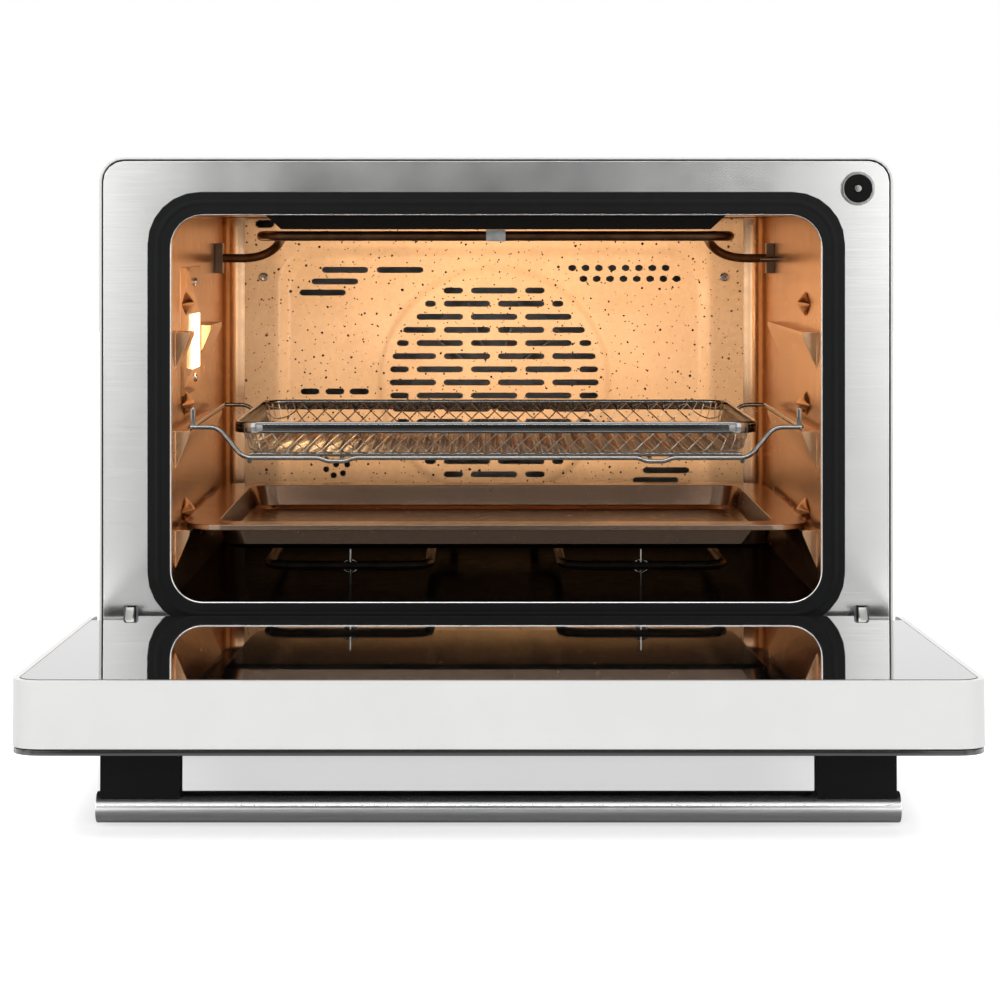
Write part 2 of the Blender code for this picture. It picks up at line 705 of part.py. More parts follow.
def make_elements():
    """Upper element: in through both side walls, up, and round in a flat loop."""
    top_z = CAVITY_FLOOR + UPPER_Z
    edge = WALL_X + 0.012
    half = [
        (edge, BRACKET_D, BRACKET_Z), (UPPER_X + 0.012, BRACKET_D, BRACKET_Z),
        (
            UPPER_X + 0.005, BRACKET_D - 0.001, BRACKET_Z + 0.003
        ), (UPPER_X, BRACKET_D - 0.004, top_z - 0.007),
        (UPPER_X - 0.001, BRACKET_D - 0.012, top_z - 0.001), (UPPER_X - 0.001, BRACKET_D - 0.020, top_z),
        (UPPER_X - 0.001, 0.085, top_z), (UPPER_X - 0.006, 0.073, top_z), (UPPER_X - 0.018, 0.068, top_z),
    ]
    path = [(-x, at(d), z) for x, d, z in half] + [(x, at(d), z) for x, d, z in half[::-1]]
    tube("upper_element", path, TUBE_R, "element_steel")
    for name, side in (("left", -1), ("right", 1)):
        inner, outer = side * (WALL_X - CLEAR), side * (WALL_X - 0.0057)
        plate = box(
            f"element_bracket_{name}",
            (min(inner, outer), at(BRACKET_D - 0.006), BRACKET_Z - 0.011),
            (max(inner, outer), at(BRACKET_D + 0.006), BRACKET_Z + 0.011),
            "zinc_sheet",
        )
        cut(
            plate,
            rod(
                "bracket_bore", (side * WALL_X - 0.01, at(BRACKET_D), BRACKET_Z), 0.02, TUBE_R + CLEAR, "X",
                sides=12,
            ),
        )

    # The centre clip hangs from the reflector and holds the front run of the loop.
    run_z = top_z + TUBE_R + CLEAR
    flat(
        "top_reflector",
        [[(-0.150, CAVITY_TOP - CLEAR), (-0.140, CAVITY_TOP - 0.0095), (0.140, CAVITY_TOP - 0.0095),
          (0.150, CAVITY_TOP - CLEAR), (0.1487, CAVITY_TOP - CLEAR), (0.139, CAVITY_TOP - 0.0085),
          (-0.139, CAVITY_TOP - 0.0085), (-0.1487, CAVITY_TOP - CLEAR)]],
        0.250, (0, at(0.185), 0), "XZ", "dark_enamel",
    )
    clip = box(
        "element_clip_top", (-0.006, at(0.066), run_z), (0.006, at(0.070), CAVITY_TOP - 0.0098),
        "zinc_sheet",
    )
    plate = box(
        "clip_plate", (-0.0063, at(0.0632), top_z - 0.0035), (0.0063, at(0.0644), CAVITY_TOP - 0.0100)
    )
    joint = box("clip_joint", (-0.006, at(0.0635), run_z), (0.006, at(0.068), CAVITY_TOP - 0.0098))
    unite(clip, joint, plate)

    low_z = CAVITY_FLOOR + LOWER_Z
    half = [
        (0.030, PAN_LOW_D, low_z), (0.030, 0.300, low_z), (0.034, 0.290, low_z), (0.044, 0.285, low_z),
        (0.135, 0.285, low_z), (0.147, 0.281, low_z), (0.151, 0.270, low_z), (0.151, 0.105, low_z),
        (0.147, 0.093, low_z), (0.135, 0.088, low_z), (0.060, 0.088, low_z), (0.048, 0.093, low_z),
        (0.044, 0.105, low_z), (0.044, 0.220, low_z), (0.038, 0.236, low_z), (0.022, 0.243, low_z),
    ]
    path = [(-x, at(d), z) for x, d, z in half] + [(x, at(d), z) for x, d, z in half[::-1]]
    tube("lower_element", path, TUBE_R, "element_steel")
    for name, side in (("left", -1), ("right", 1)):
        x = side * 0.096
        foot = box(
            f"element_clip_{name}", (x - 0.004, at(0.0815), CAVITY_FLOOR + CLEAR),
            (x + 0.004, at(0.0925), low_z - TUBE_R - CLEAR), "chrome",
        )
        unite(foot, rod("clip_pin", (x, at(0.0828), CAVITY_FLOOR + 0.002), 0.022, 0.0009, "Z", sides=8))


def make_lamp_and_sensors():
    z = CAVITY_FLOOR + LAMP_Z
    outer = -(WALL_X + LINER_T + CLEAR)
    low, high = at(LAMP_D - LAMP_W / 2 - LAMP_RIM), at(LAMP_D + LAMP_W / 2 + LAMP_RIM)
    half_h, t = LAMP_H / 2 + LAMP_RIM, LINER_T
    housing = box("lamp_housing", (outer - 0.030, low, z - half_h), (outer, high, z + half_h), "zinc_sheet")
    space = box(
        "lamp_space", (outer - 0.029, low + t, z - half_h + t), (outer + 0.01, high - t, z + half_h - t)
    )
    socket = rod("lamp_socket", (outer - 0.0295, at(LAMP_D), z), 0.0088, 0.009, "X", sides=20)
    unite(cut(housing, space), socket)
    box(
        "lamp_lens", (-WALL_X - LINER_T + CLEAR, at(LAMP_D - LAMP_W / 2) + CLEAR, z - LAMP_H / 2 + CLEAR),
        (-WALL_X + 0.0020, at(LAMP_D + LAMP_W / 2) - CLEAR, z + LAMP_H / 2 - CLEAR), "lamp_glass",
    )
    bulb = rod(
        "lamp_bulb", (outer - 0.0204, at(LAMP_D), z), 0.0165, 0.0070, "X", "lamp_glass", end=0.0050,
        sides=20,
    )
    bulb.data.shade_smooth()

    rod(
        "temperature_probe", (WALL_X - 0.012, at(PROBE_D), CAVITY_FLOOR + PROBE_Z), 0.026, 0.0019, "X",
        "chrome", sides=12,
    )

    x, z = SENSOR_X, TOP - SENSOR_DROP
    bezel = rod("sensor_bezel", (x, at(-0.0016), z), 0.0013, SENSOR_R, "Y", "chrome", sides=32)
    cut(bezel, rod("bezel_bore", (x, at(-0.01), z), 0.02, SENSOR_R - 0.0018, "Y", sides=32))
    body = rod(
        "sensor_body", (x, at(-0.0013), z), 0.0213, SENSOR_R - 0.0018 - CLEAR, "Y", "black_plastic",
        sides=32,
    )
    cut(body, rod("plunger_bore", (x, at(-0.01), z), 0.028, PLUNGER_R + CLEAR, "Y", sides=16))
    rod("sensor_plunger", (x, at(-0.0021), z), 0.0150, PLUNGER_R, "Y", "chrome", sides=16)


def make_electronics():
    floor = FOOT_H + SHEET
    board = box(
        "power_board", (0.050, at(0.120), floor + 0.006), (0.200, at(0.300), floor + 0.0076),
        "circuit_board",
    )
    parts = [
        box("relay", (0.150, at(0.140), floor + 0.007), (0.170, at(0.168), floor + 0.023)),
        box("relay", (0.150, at(0.180), floor + 0.007), (0.170, at(0.208), floor + 0.023)),
        box("transformer", (0.070, at(0.230), floor + 0.007), (0.115, at(0.275), floor + 0.042)),
        rod("capacitor", (0.090, at(0.155), floor + 0.007), 0.025, 0.009, "Z", sides=16),
    ]
    posts = [
        rod("board_post", (x, at(d), floor + CLEAR), 0.0065, 0.003, "Z", sides=10)
        for x in (0.060, 0.190) for d in (0.130, 0.290)
    ]
    unite(board, *parts, *posts)
    rod("cord_gland", (0.170, at(COVER_D - 0.012), 0.050), 0.0115, GLAND_R, "Y", "black_plastic", sides=20)
    gland = unite(
        bpy.data.objects["cord_gland"],
        rod("gland_neck", (0.170, at(COVER_D - 0.002), 0.050), 0.005, GLAND_R * 0.70, "Y", sides=20),
        rod(
            "gland_nose", (0.170, at(BODY_D + CLEAR), 0.050), GLAND_REACH - CLEAR, GLAND_R, "Y",
            end=GLAND_R * 0.6, sides=20,
        ),
    )
    cut(gland, rod("cord_hole", (0.170, at(BODY_D - 0.03), 0.050), 0.06, 0.0036, "Y", sides=12))


def make_hinges(door):
    for name, side in (("left", -1), ("right", 1)):
        x = side * HINGE_X
        tail = HINGE_Z
        eye = arc(at(HINGE_D), HINGE_Z, 0.006, 150, 300, 8)
        profile = eye + [
            (at(0.0), tail - 0.006), (
                at(0.055), tail - 0.006
            ), (at(0.055), tail + 0.013), (at(0.0), tail + 0.0148),
            (at(-0.004), tail + 0.0148),
        ]
        arm = flat(f"hinge_arm_{name}", [profile], ARM_T, (x, 0, 0), "YZ", "chrome")
        cut(arm, rod("eye", (x - 0.02, at(HINGE_D), HINGE_Z), 0.04, PIN_R + CLEAR, "X", sides=20))
        rod(
            f"hinge_pin_{name}", (x - ARM_SLOT_W / 2 - 0.0004, 0, 0), ARM_SLOT_W + 0.0008, PIN_R, "X",
            "chrome", door, sides=20,
        )
        case = box(
            f"hinge_housing_{name}", (x - 0.006, at(FRAME_T + CLEAR), HINGE_Z - 0.018),
            (x + 0.006, at(0.062), HINGE_Z + 0.022), "zinc_sheet",
        )
        cut(case, box(
            "housing_space", (x - ARM_T / 2 - CLEAR, at(-0.01), HINGE_Z - 0.0063),
            (x + ARM_T / 2 + CLEAR, at(0.058), HINGE_Z + 0.0151),
        ))
        ears = box(
            f"hinge_bracket_{name}", (
                x - ARM_SLOT_W / 2, -0.045, -0.0098
            ), (x + ARM_SLOT_W / 2, 0.0024, 0.0044),
            "zinc_sheet", door,
        )
        room = box(
            "bracket_space", (
                x - ARM_SLOT_W / 2 + EAR_T, -0.043, -0.0082
            ), (x + ARM_SLOT_W / 2 - EAR_T, 0.01, 0.01),
            None, door,
        )
        bore = rod("pin_bore", (x - 0.02, 0, 0), 0.04, PIN_R + CLEAR, "X", None, door, sides=20)
        cut(ears, room, bore)


# ------------------------------------------------------------------ the door
def door_outline(inset, radius, front=DOOR_FRONT, rear=DOOR_TAIL):
    """The door from above in its own frame, free edge at -Y."""
    middle, half = (front + rear) / 2, (rear - front) / 2 - inset
    return rounded(0, middle, DOOR_W / 2 - inset, half, [0.003, 0.003, radius, radius], 5)


def make_door(door):
    top, glass_low = INNER_DEPTH, DOOR_OUTER + GLASS_T
    low, high = glass_low + CLEAR, top - CLEAR
    casing = flat(
        "door_casing", [door_outline(0, DOOR_R), door_outline(CASING_WALL, DOOR_R - CASING_WALL)],
        high - low, (0, 0, (low + high) / 2), "XY", "white_casing", door,
    )
    cutters = [
        box(
            "rear_lip_cut", (-DOOR_W, DOOR_TAIL - CASING_WALL - 0.0005, top - REAR_LIP_DROP),
            (DOOR_W, 0.03, 0.05), None, door,
        )
    ] + [
        box(
            "arm_gate", (side * HINGE_X - ARM_SLOT_W / 2 - 0.0005, 0.0, -0.008),
            (side * HINGE_X + ARM_SLOT_W / 2 + 0.0005, 0.03, 0.05), None, door,
        )
        for side in (-1, 1)
    ]
    cut(casing, *cutters)

    edge = DOOR_W / 2 - CASING_WALL - 0.0006
    front = DOOR_FRONT + CASING_WALL + 0.0006
    corner = DOOR_R - CASING_WALL - 0.0006
    rear, notch_x = 0.0008, edge - NOTCH_W + 0.0042
    shoulder = rear - NOTCH_L
    right = [(notch_x - 0.003, rear), (notch_x, rear - 0.004), (notch_x, shoulder), (edge, shoulder)]
    rim = arc(edge - corner, front + corner, corner, 0, -90, 5)
    half = right + rim
    outline = half + [(-x, y) for x, y in half[::-1]]
    flat("door_inner_glass", [outline], GLASS_T, (0, 0, top - GLASS_T / 2), "XY", "black_glass", door)

    liner_z = top - GLASS_T - CLEAR - 0.0006
    liner_rear = DOOR_TAIL - CASING_WALL - CLEAR
    slot_w, slot_end = ARM_SLOT_W / 2 + CLEAR, -(INNER_DEPTH + 0.0045)
    half = [
        (HINGE_X - slot_w, liner_rear), (HINGE_X - slot_w, slot_end), (HINGE_X + slot_w, slot_end),
        (HINGE_X + slot_w, liner_rear), (edge - 0.003, liner_rear), (edge, liner_rear - 0.003),
    ] + arc(edge - corner, front + corner, corner, 0, -90, 5)
    outline = half + [(-x, y) for x, y in half[::-1]]
    window = rounded(0, DOOR_FRONT + 0.165, 0.190, 0.095, 0.012)
    flat("door_liner", [outline, window], 0.0012, (0, 0, liner_z), "XY", "dark_enamel", door)

    flat(
        "door_outer_glass", [door_outline(0.0004, DOOR_R)], GLASS_T - CLEAR,
        (0, 0, DOOR_OUTER + (GLASS_T - CLEAR) / 2), "XY", "black_glass", door,
    )
    board = box(
        "control_board", (
            -0.110, DOOR_FRONT + 0.012, glass_low + CLEAR
        ), (0.110, DOOR_FRONT + 0.055, glass_low + 0.0019),
        "circuit_board", door,
    )
    unite(
        board,
        box(
            "display_block", (-0.040, DOOR_FRONT + 0.018, glass_low + 0.001),
            (0.040, DOOR_FRONT + 0.048, glass_low + 0.009), None, door,
        ),
    )

    bar_y, bar_z = DOOR_FRONT + BAR_INSET, DOOR_OUTER - BAR_DROP
    rod("handle_bar", (-BAR_L / 2, bar_y, bar_z), BAR_L, BAR_R, "X", "brushed_steel", door, sides=32)
    for name, side in (("left", -1), ("right", 1)):
        post = box(
            f"handle_post_{name}",
            (side * POST_X - POST_W / 2, bar_y - POST_D / 2, bar_z + BAR_R - POST_GRIP),
            (side * POST_X + POST_W / 2, bar_y + POST_D / 2, DOOR_OUTER - CLEAR), "black_plastic", door,
        )
        cut(
            post,
            rod("bar_seat", (-BAR_L, bar_y, bar_z), 2 * BAR_L, BAR_R + CLEAR, "X", None, door, sides=32),
        )


# -------------------------------------------------------- tray, rack, basket
def make_tray():
    rim = ledge_tops()[0] + CLEAR + TRAY_LIP
    middle = (0, at(TRAY_START + TRAY_L / 2), 0)
    w, d, r, inner = TRAY_W / 2 - TRAY_T, TRAY_L / 2 - TRAY_T, TRAY_R - TRAY_T, TRAY_R - 0.006
    f, slope = TRAY_FLANGE, 0.003
    rings = [
        (w, d, r, rim - TRAY_LIP), (w, d, r, rim - TRAY_T),
        (w - f, d - f, inner, rim - TRAY_T), (w - f - slope, d - f - slope, inner, rim - TRAY_H + 0.004),
        (w - f - slope - 0.004, d - f - slope - 0.004, inner - 0.004, rim - TRAY_H + TRAY_T),
    ]
    pan("baking_tray", rings, middle, TRAY_T, "tray_coating")


def make_rack():
    r = RACK_WIRE / 2
    rail_z = ledge_tops()[1] + CLEAR + r
    rail_x, low_z = RACK_W / 2 - r, ledge_tops()[1] + CLEAR + r - RACK_DROP
    floor_x = RACK_FLOOR_W / 2
    start, end = RACK_START, RACK_START + RACK_L
    rack = tube(
        "wire_rack", [(-rail_x, at(start), rail_z), (-rail_x, at(end), rail_z)], r, "chrome", resolution=1
    )
    wires = [
        tube("right_rail", [(rail_x, at(start), rail_z), (rail_x, at(end), rail_z)], r, None, resolution=1),
    ]
    for i in range(RACK_BARS):
        d = start + 0.004 + (RACK_L - 0.012) * i / (RACK_BARS - 1)
        path = [(rail_x, rail_z), (floor_x + RACK_SLOPE, rail_z), (floor_x, low_z)]
        path = path + [(-x, z) for x, z in path[::-1]]
        wires.append(tube("cross_wire", [(x, at(d), z) for x, z in path], r, None, resolution=1))
    for x in (-0.100, 0.100):
        wires.append(tube(
            "long_wire", [
                (x, at(start + 0.001), low_z - 0.0022), (x, at(end - 0.005), low_z - 0.0022),
            ], r, None, resolution=1
        ))
    unite(rack, *wires)


def make_basket():
    bottom = ledge_tops()[1] + CLEAR - RACK_DROP + RACK_WIRE + CLEAR
    middle = (0, at(RACK_START - 0.002 + BASKET_L / 2), 0)
    w, d, r = BASKET_W / 2, BASKET_L / 2, BASKET_R
    band = 0.0012
    top = bottom + BASKET_H
    outline = rounded(0, 0, w, d, r)
    hole = rounded(0, 0, w - band, d - band, r - band)
    flat(
        "basket_rim", [outline, hole], BASKET_BAND_H, (0, middle[1], top - BASKET_BAND_H / 2), "XY",
        "chrome",
    )
    t = BASKET_T
    w, d, r = w - band - CLEAR - t, d - band - CLEAR - t, r - band - CLEAR - t
    rings = [
        (w, d, r, top - 0.001), (w, d, r, top - BASKET_BAND_H),
        (w - BASKET_TAPER + 0.003, d - BASKET_TAPER + 0.003, r - 0.004, bottom + 0.004),
        (w - BASKET_TAPER, d - BASKET_TAPER, r - 0.006, bottom + t),
    ]
    pan("basket_mesh", rings, middle, t, "brushed_steel")


def main():
    start_scene()
    door = bpy.data.objects.new("door_hinge_axis", None)
    door.location = (0, at(HINGE_D), HINGE_Z)
    door.rotation_euler = (-DOOR_TILT, 0, 0)
    bpy.data.collections["toaster_oven"].objects.link(door)
    make_casing()
    make_front_frame()
    make_side_walls()
    make_cavity_plates()
    make_back_panel()
    make_fan_chamber()
    make_fan()
    make_elements()
    make_lamp_and_sensors()
    make_electronics()
    make_hinges(door)
    make_door(door)
    make_tray()
    make_rack()
    make_basket()
    bpy.context.view_layer.update()


main()
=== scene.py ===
import json
import math

import bmesh
import bpy
from mathutils import Matrix, Vector
from mathutils.geometry import interpolate_bezier


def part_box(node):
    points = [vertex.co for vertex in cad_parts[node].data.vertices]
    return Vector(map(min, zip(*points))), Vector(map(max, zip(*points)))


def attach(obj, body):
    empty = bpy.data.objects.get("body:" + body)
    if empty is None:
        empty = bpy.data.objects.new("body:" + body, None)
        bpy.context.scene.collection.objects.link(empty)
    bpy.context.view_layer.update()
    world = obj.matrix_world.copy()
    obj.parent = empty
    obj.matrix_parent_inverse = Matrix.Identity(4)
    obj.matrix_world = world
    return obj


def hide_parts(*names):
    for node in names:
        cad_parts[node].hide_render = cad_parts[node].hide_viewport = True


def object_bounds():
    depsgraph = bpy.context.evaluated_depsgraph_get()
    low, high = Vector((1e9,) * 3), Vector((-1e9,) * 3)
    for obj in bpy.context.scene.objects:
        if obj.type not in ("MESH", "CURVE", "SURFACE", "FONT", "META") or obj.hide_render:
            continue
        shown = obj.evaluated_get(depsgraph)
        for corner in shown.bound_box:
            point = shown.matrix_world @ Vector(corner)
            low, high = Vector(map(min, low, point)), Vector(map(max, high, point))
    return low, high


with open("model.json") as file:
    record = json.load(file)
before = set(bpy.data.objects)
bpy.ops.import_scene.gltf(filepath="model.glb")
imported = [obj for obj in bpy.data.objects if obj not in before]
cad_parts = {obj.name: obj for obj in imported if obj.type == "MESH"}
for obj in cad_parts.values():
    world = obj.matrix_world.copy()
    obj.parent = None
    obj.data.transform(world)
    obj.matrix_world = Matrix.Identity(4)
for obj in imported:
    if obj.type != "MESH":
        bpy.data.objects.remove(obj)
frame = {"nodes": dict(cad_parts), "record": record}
cadLow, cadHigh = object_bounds()
print("frame loaded:", len(frame["nodes"]), "nodes")

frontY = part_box("front_frame")[0].y  # the stainless front of the cabinet
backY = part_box("fan_baffle")[0].y  # the back panel of the cavity
leftAndRight = ((-1, "left"), (1, "right"))


def at(depth):
    # a place measured back from the front of the cabinet
    return frontY + depth


# materials
def linear(hexColour):
    parts = [int(hexColour[i:i + 2], 16) / 255 for i in (1, 3, 5)]
    return [p / 12.92 if p <= 0.04045 else ((p + 0.055) / 1.055) ** 2.4 for p in parts] + [1.0]


def grey(value):
    return [value, value, value, 1.0]


def addNode(tree, kind, inputs=None, links=None, ramp=None, **settings):
    made = tree.nodes.new(kind)
    for name, value in settings.items():
        setattr(made, name, value)
    for name, value in (inputs or {}).items():
        made.inputs[name].default_value = value
    for name, source in (links or {}).items():
        tree.links.new(source, made.inputs[name])
    if ramp:
        stops = made.color_ramp.elements
        while len(stops) < len(ramp):
            stops.new(0.5)
        for stop, (place, colour) in zip(stops, ramp):
            stop.position = place
            stop.color = colour
    return made


def startMaterial(name, **shader):
    made = bpy.data.materials.new(name)
    made.use_nodes = True
    tree = made.node_tree
    surface = tree.nodes["Principled BSDF"]
    for socket, value in shader.items():
        surface.inputs[socket].default_value = value
    place = addNode(tree, "ShaderNodeTexCoord").outputs["Object"]
    return made, tree, surface, place


def grain(tree, place, sizeMm, stretch=(1, 1, 1), detail=3.0):
    # soft patches about sizeMm across, drawn out along an axis by stretch
    moved = addNode(tree, "ShaderNodeMapping", {"Scale": stretch}, {"Vector": place})
    return addNode(tree, "ShaderNodeTexNoise", {"Scale": 1000 / sizeMm, "Detail": detail, "Roughness": 0.55},
                   {"Vector": moved.outputs["Vector"]}).outputs["Fac"]


def dress(material, colour, rough=None, relief=None, paint="Base Color"):
    # colour is (pattern, dark, light), rough is (pattern, low, high) and relief is (pattern, height
    # in mm, strength); a pattern is the size of its patches in mm, or the output of a node
    made, tree, surface, place = material

    def pattern(source):
        return grain(tree, place, source) if isinstance(source, (int, float)) else source

    shade = addNode(tree, "ShaderNodeValToRGB", links={"Fac": pattern(colour[0])},
                    ramp=[(0.3, linear(colour[1])), (0.7, linear(colour[2]))])
    tree.links.new(shade.outputs["Color"], surface.inputs[paint])
    if rough:
        level = addNode(tree, "ShaderNodeMapRange", {"From Min": 0.25, "From Max": 0.75, "To Min": rough[1],
                                                     "To Max": rough[2]}, {"Value": pattern(rough[0])})
        tree.links.new(level.outputs["Result"], surface.inputs["Roughness"])
    if relief:
        raised = addNode(tree, "ShaderNodeBump", {"Distance": relief[1] / 1000, "Strength": relief[2]},
                         {"Height": pattern(relief[0])})
        tree.links.new(raised.outputs["Normal"], surface.inputs["Normal"])
    return made


def powderCoatedSteel():
    # white epoxy-polyester powder on sheet steel: soft gloss over a faint orange peel
    material = startMaterial("powderCoatedSteel", **{"IOR": 1.5})
    return dress(material, (60, "#E6E6E5", "#EAEAE9"), (4, 0.30, 0.36), (1.2, 0.012, 1.0))


def brushedStainless(name, dark="#E9E9E8", light="#F3F3F2", low=0.17, high=0.23, depthMm=0.0025):
    # 430 stainless rubbed with a 180 grit belt: lines drawn 0.5 mm wide so that they still show
    material = startMaterial(name, **{"Metallic": 1.0, "Anisotropic": 0.35})
    made, tree, surface, place = material
    lines = grain(tree, place, 0.5, (0.012, 1, 1), 2.0)
    return dress(material, (lines, dark, light), (40, low, high), (lines, depthMm, 1.0))


def stainlessWithPaintedLampWarmth():
    # stainless sheet whose straw brown is painted warm lamplight: soft mirror with faint rolling waves
    material = startMaterial("cavityStainless", **{"Metallic": 1.0})
    made, tree, surface, place = material
    waves = grain(tree, place, 45, detail=1.0)
    return dress(material, (70, "#DCAE84", "#E8BC92"), (12, 0.2, 0.28), (waves, 0.12, 0.5))


def brightWire(name, dark="#92928F", light="#A4A4A1", low=0.08, high=0.15):
    # electropolished steel wire: bright, with small drawing marks
    material = startMaterial(name, **{"Metallic": 1.0})
    return dress(material, (25, dark, light), (3, low, high), (1.5, 0.01, 1.0))


def galvanisedSheet():
    # hot-dip zinc: dull grey with faint 5 mm spangles
    material = startMaterial("galvanisedSheet", **{"Metallic": 1.0})
    made, tree, surface, place = material
    spangle = addNode(tree, "ShaderNodeTexVoronoi", {"Scale": 1000 / 5}, {"Vector": place}).outputs["Color"]
    return dress(material, (spangle, "#A5A8A9", "#B0B3B4"), (spangle, 0.42, 0.48), (2, 0.01, 1.0))


def speckledEnamel():
    # cream vitreous enamel with fired black specks from 0.5 to 2 mm across
    material = startMaterial("speckledEnamel", **{"IOR": 1.5, "Coat Weight": 0.3, "Coat Roughness": 0.08})
    dress(material, (50, "#D6C9B6", "#E2D6C4"), (6, 0.22, 0.32), (5, 0.02, 1.0))
    made, tree, surface, place = material
    base = surface.inputs["Base Color"].links[0].from_socket
    # each layer: the mean distance of its specks in mm, and the largest speck as a share of it
    for sizeMm, share in ((17, 0.072), (11, 0.088), (7, 0.096)):
        wobble = addNode(tree, "ShaderNodeTexNoise", {"Scale": 1000 / 1.5, "Detail": 1.0}, {"Vector": place})
        shifted = addNode(tree, "ShaderNodeMix", {0: 0.0012}, {4: place, 5: wobble.outputs["Color"]},
                          data_type="VECTOR")
        flat = addNode(tree, "ShaderNodeMapping", {"Rotation": (math.radians(90), 0, 0)},
                       {"Vector": shifted.outputs[1]})
        cell = addNode(tree, "ShaderNodeTexVoronoi", {"Scale": 1000 / sizeMm}, {"Vector": flat.outputs[0]},
                       voronoi_dimensions="2D")
        limit = addNode(tree, "ShaderNodeMath", {1: share}, {0: cell.outputs["Color"]}, operation="MULTIPLY")
        fleck = addNode(tree, "ShaderNodeMath", links={0: cell.outputs["Distance"], 1: limit.outputs[0]},
                        operation="LESS_THAN")
        base = addNode(tree, "ShaderNodeMix", {7: linear("#2A211B")}, {0: fleck.outputs[0], 6: base},
                       data_type="RGBA").outputs[2]
    # painted shade: greyer and darker outside the pressed field, where less of the warm lamp light falls
    across = addNode(tree, "ShaderNodeSeparateXYZ", links={"Vector": place})
    reach = addNode(tree, "ShaderNodeMath", links={0: across.outputs["X"]}, operation="ABSOLUTE")
    flangePaintedShade = addNode(tree, "ShaderNodeMapRange", {"From Min": 0.160, "From Max": 0.168, "To Min": 0.0, "To Max": 0.3},
                   {"Value": reach.outputs[0]})
    base = addNode(tree, "ShaderNodeMix", {7: linear("#6E645E")}, {0: flangePaintedShade.outputs["Result"], 6: base},
                   data_type="RGBA").outputs[2]
    tree.links.new(base, surface.inputs["Base Color"])
    return made


def darkEnamel(name="darkEnamel", dark="#040303", light="#070605"):
    # black vitreous enamel, its own colour near black and darkened further as painted shade for the dark below the
    # tray; hardly any sheen, pinhead flecks
    material = startMaterial(name, **{"IOR": 1.52, "Specular IOR Level": 0.0002})
    made, tree, surface, place = material
    return dress(material, (grain(tree, place, 1.0, detail=1.0), dark, light), (8, 0.14, 0.24), (6, 0.02, 1.0))


def siliconeSeal():
    # moulded silicone rubber: near black and satin, with a faint dusting
    material = startMaterial("siliconeSeal", **{"IOR": 1.41, "Specular IOR Level": 0.28})
    return dress(material, (9, "#050606", "#090A0B"), (2, 0.36, 0.46), (0.7, 0.01, 1.0))


def blackGlass(name="blackGlass", dark="#0C0D0E", light="#101112", low=0.03, high=0.06):
    # soda-lime glass painted black behind: mirror gloss, wiped marks only
    material = startMaterial(name, **{"IOR": 1.52, "Coat Weight": 1.0, "Coat Roughness": 0.02})
    return dress(material, (120, dark, light), (30, low, high))


def mouldedPlastic(name="blackPolymer", dark="#060606", light="#0A0A0A", low=0.42, high=0.52):
    # heat-proof nylon from a spark-eroded mould: fine satin pebble of 0.8 mm
    material = startMaterial(name, **{"IOR": 1.53, "Specular IOR Level": 0.12})
    return dress(material, (20, dark, light), (2, low, high), (0.8, 0.015, 1.0))


def rubberFoot():
    # nitrile rubber: matt near-black
    return mouldedPlastic("nitrileRubber", "#1A1A1A", "#222222", 0.62, 0.74)


def oxidisedSheath(name="oxidisedSheath", dark="#46301F", light="#604834"):
    # nickel alloy sheath blued and browned by heat
    material = startMaterial(name, **{"Metallic": 0.85})
    return dress(material, (14, dark, light), (3, 0.26, 0.36), (1, 0.02, 1.0))


def nonStickCoat():
    # PTFE coat with a mica sparkle of 0.6 mm; its light bronze brown is painted warm lamplight
    material = startMaterial("nonStickCoat", **{"Metallic": 1.0, "Coat Weight": 0.2, "Coat Roughness": 0.15})
    made, tree, surface, place = material
    sparkle = grain(tree, place, 0.6, detail=1.0)
    return dress(material, (sparkle, "#8E7562", "#9E8571"), (5, 0.2, 0.28), (1.2, 0.015, 1.0))


def litGlass():
    # borosilicate cover with the halogen bulb burning behind it
    material = startMaterial("litLampGlass", **{"IOR": 1.47, "Roughness": 0.25, "Emission Strength": 5.0})
    dress(material, (12, "#FFD79A", "#FFE9C4"), paint="Emission Color")
    return dress(material, (12, "#F4EBD9", "#FFF8EA"))


def fibreBlanket():
    # needled mineral wool: matt off-white with loose fibres
    material = startMaterial("fibreBlanket", **{"Roughness": 0.95})
    made, tree, surface, place = material
    fibres = grain(tree, place, 3, (1, 0.1, 1), 4.0)
    return dress(material, (fibres, "#B9B2A2", "#DAD4C6"), relief=(fibres, 0.4, 1.0))


def circuitLaminate():
    # green solder mask over glass-epoxy laminate, with tracks a few mm apart
    material = startMaterial("circuitLaminate", **{"IOR": 1.5})
    made, tree, surface, place = material
    tracks = addNode(tree, "ShaderNodeTexBrick", {"Scale": 120.0}, {"Vector": place}).outputs["Color"]
    return dress(material, (tracks, "#12442B", "#1E5E3A"), (3, 0.3, 0.45))


def turnedBrass():
    # turned brass with a light tarnish
    material = startMaterial("turnedBrass", **{"Metallic": 1.0})
    return dress(material, (4, "#A98345", "#C9A362"), (2, 0.22, 0.36))


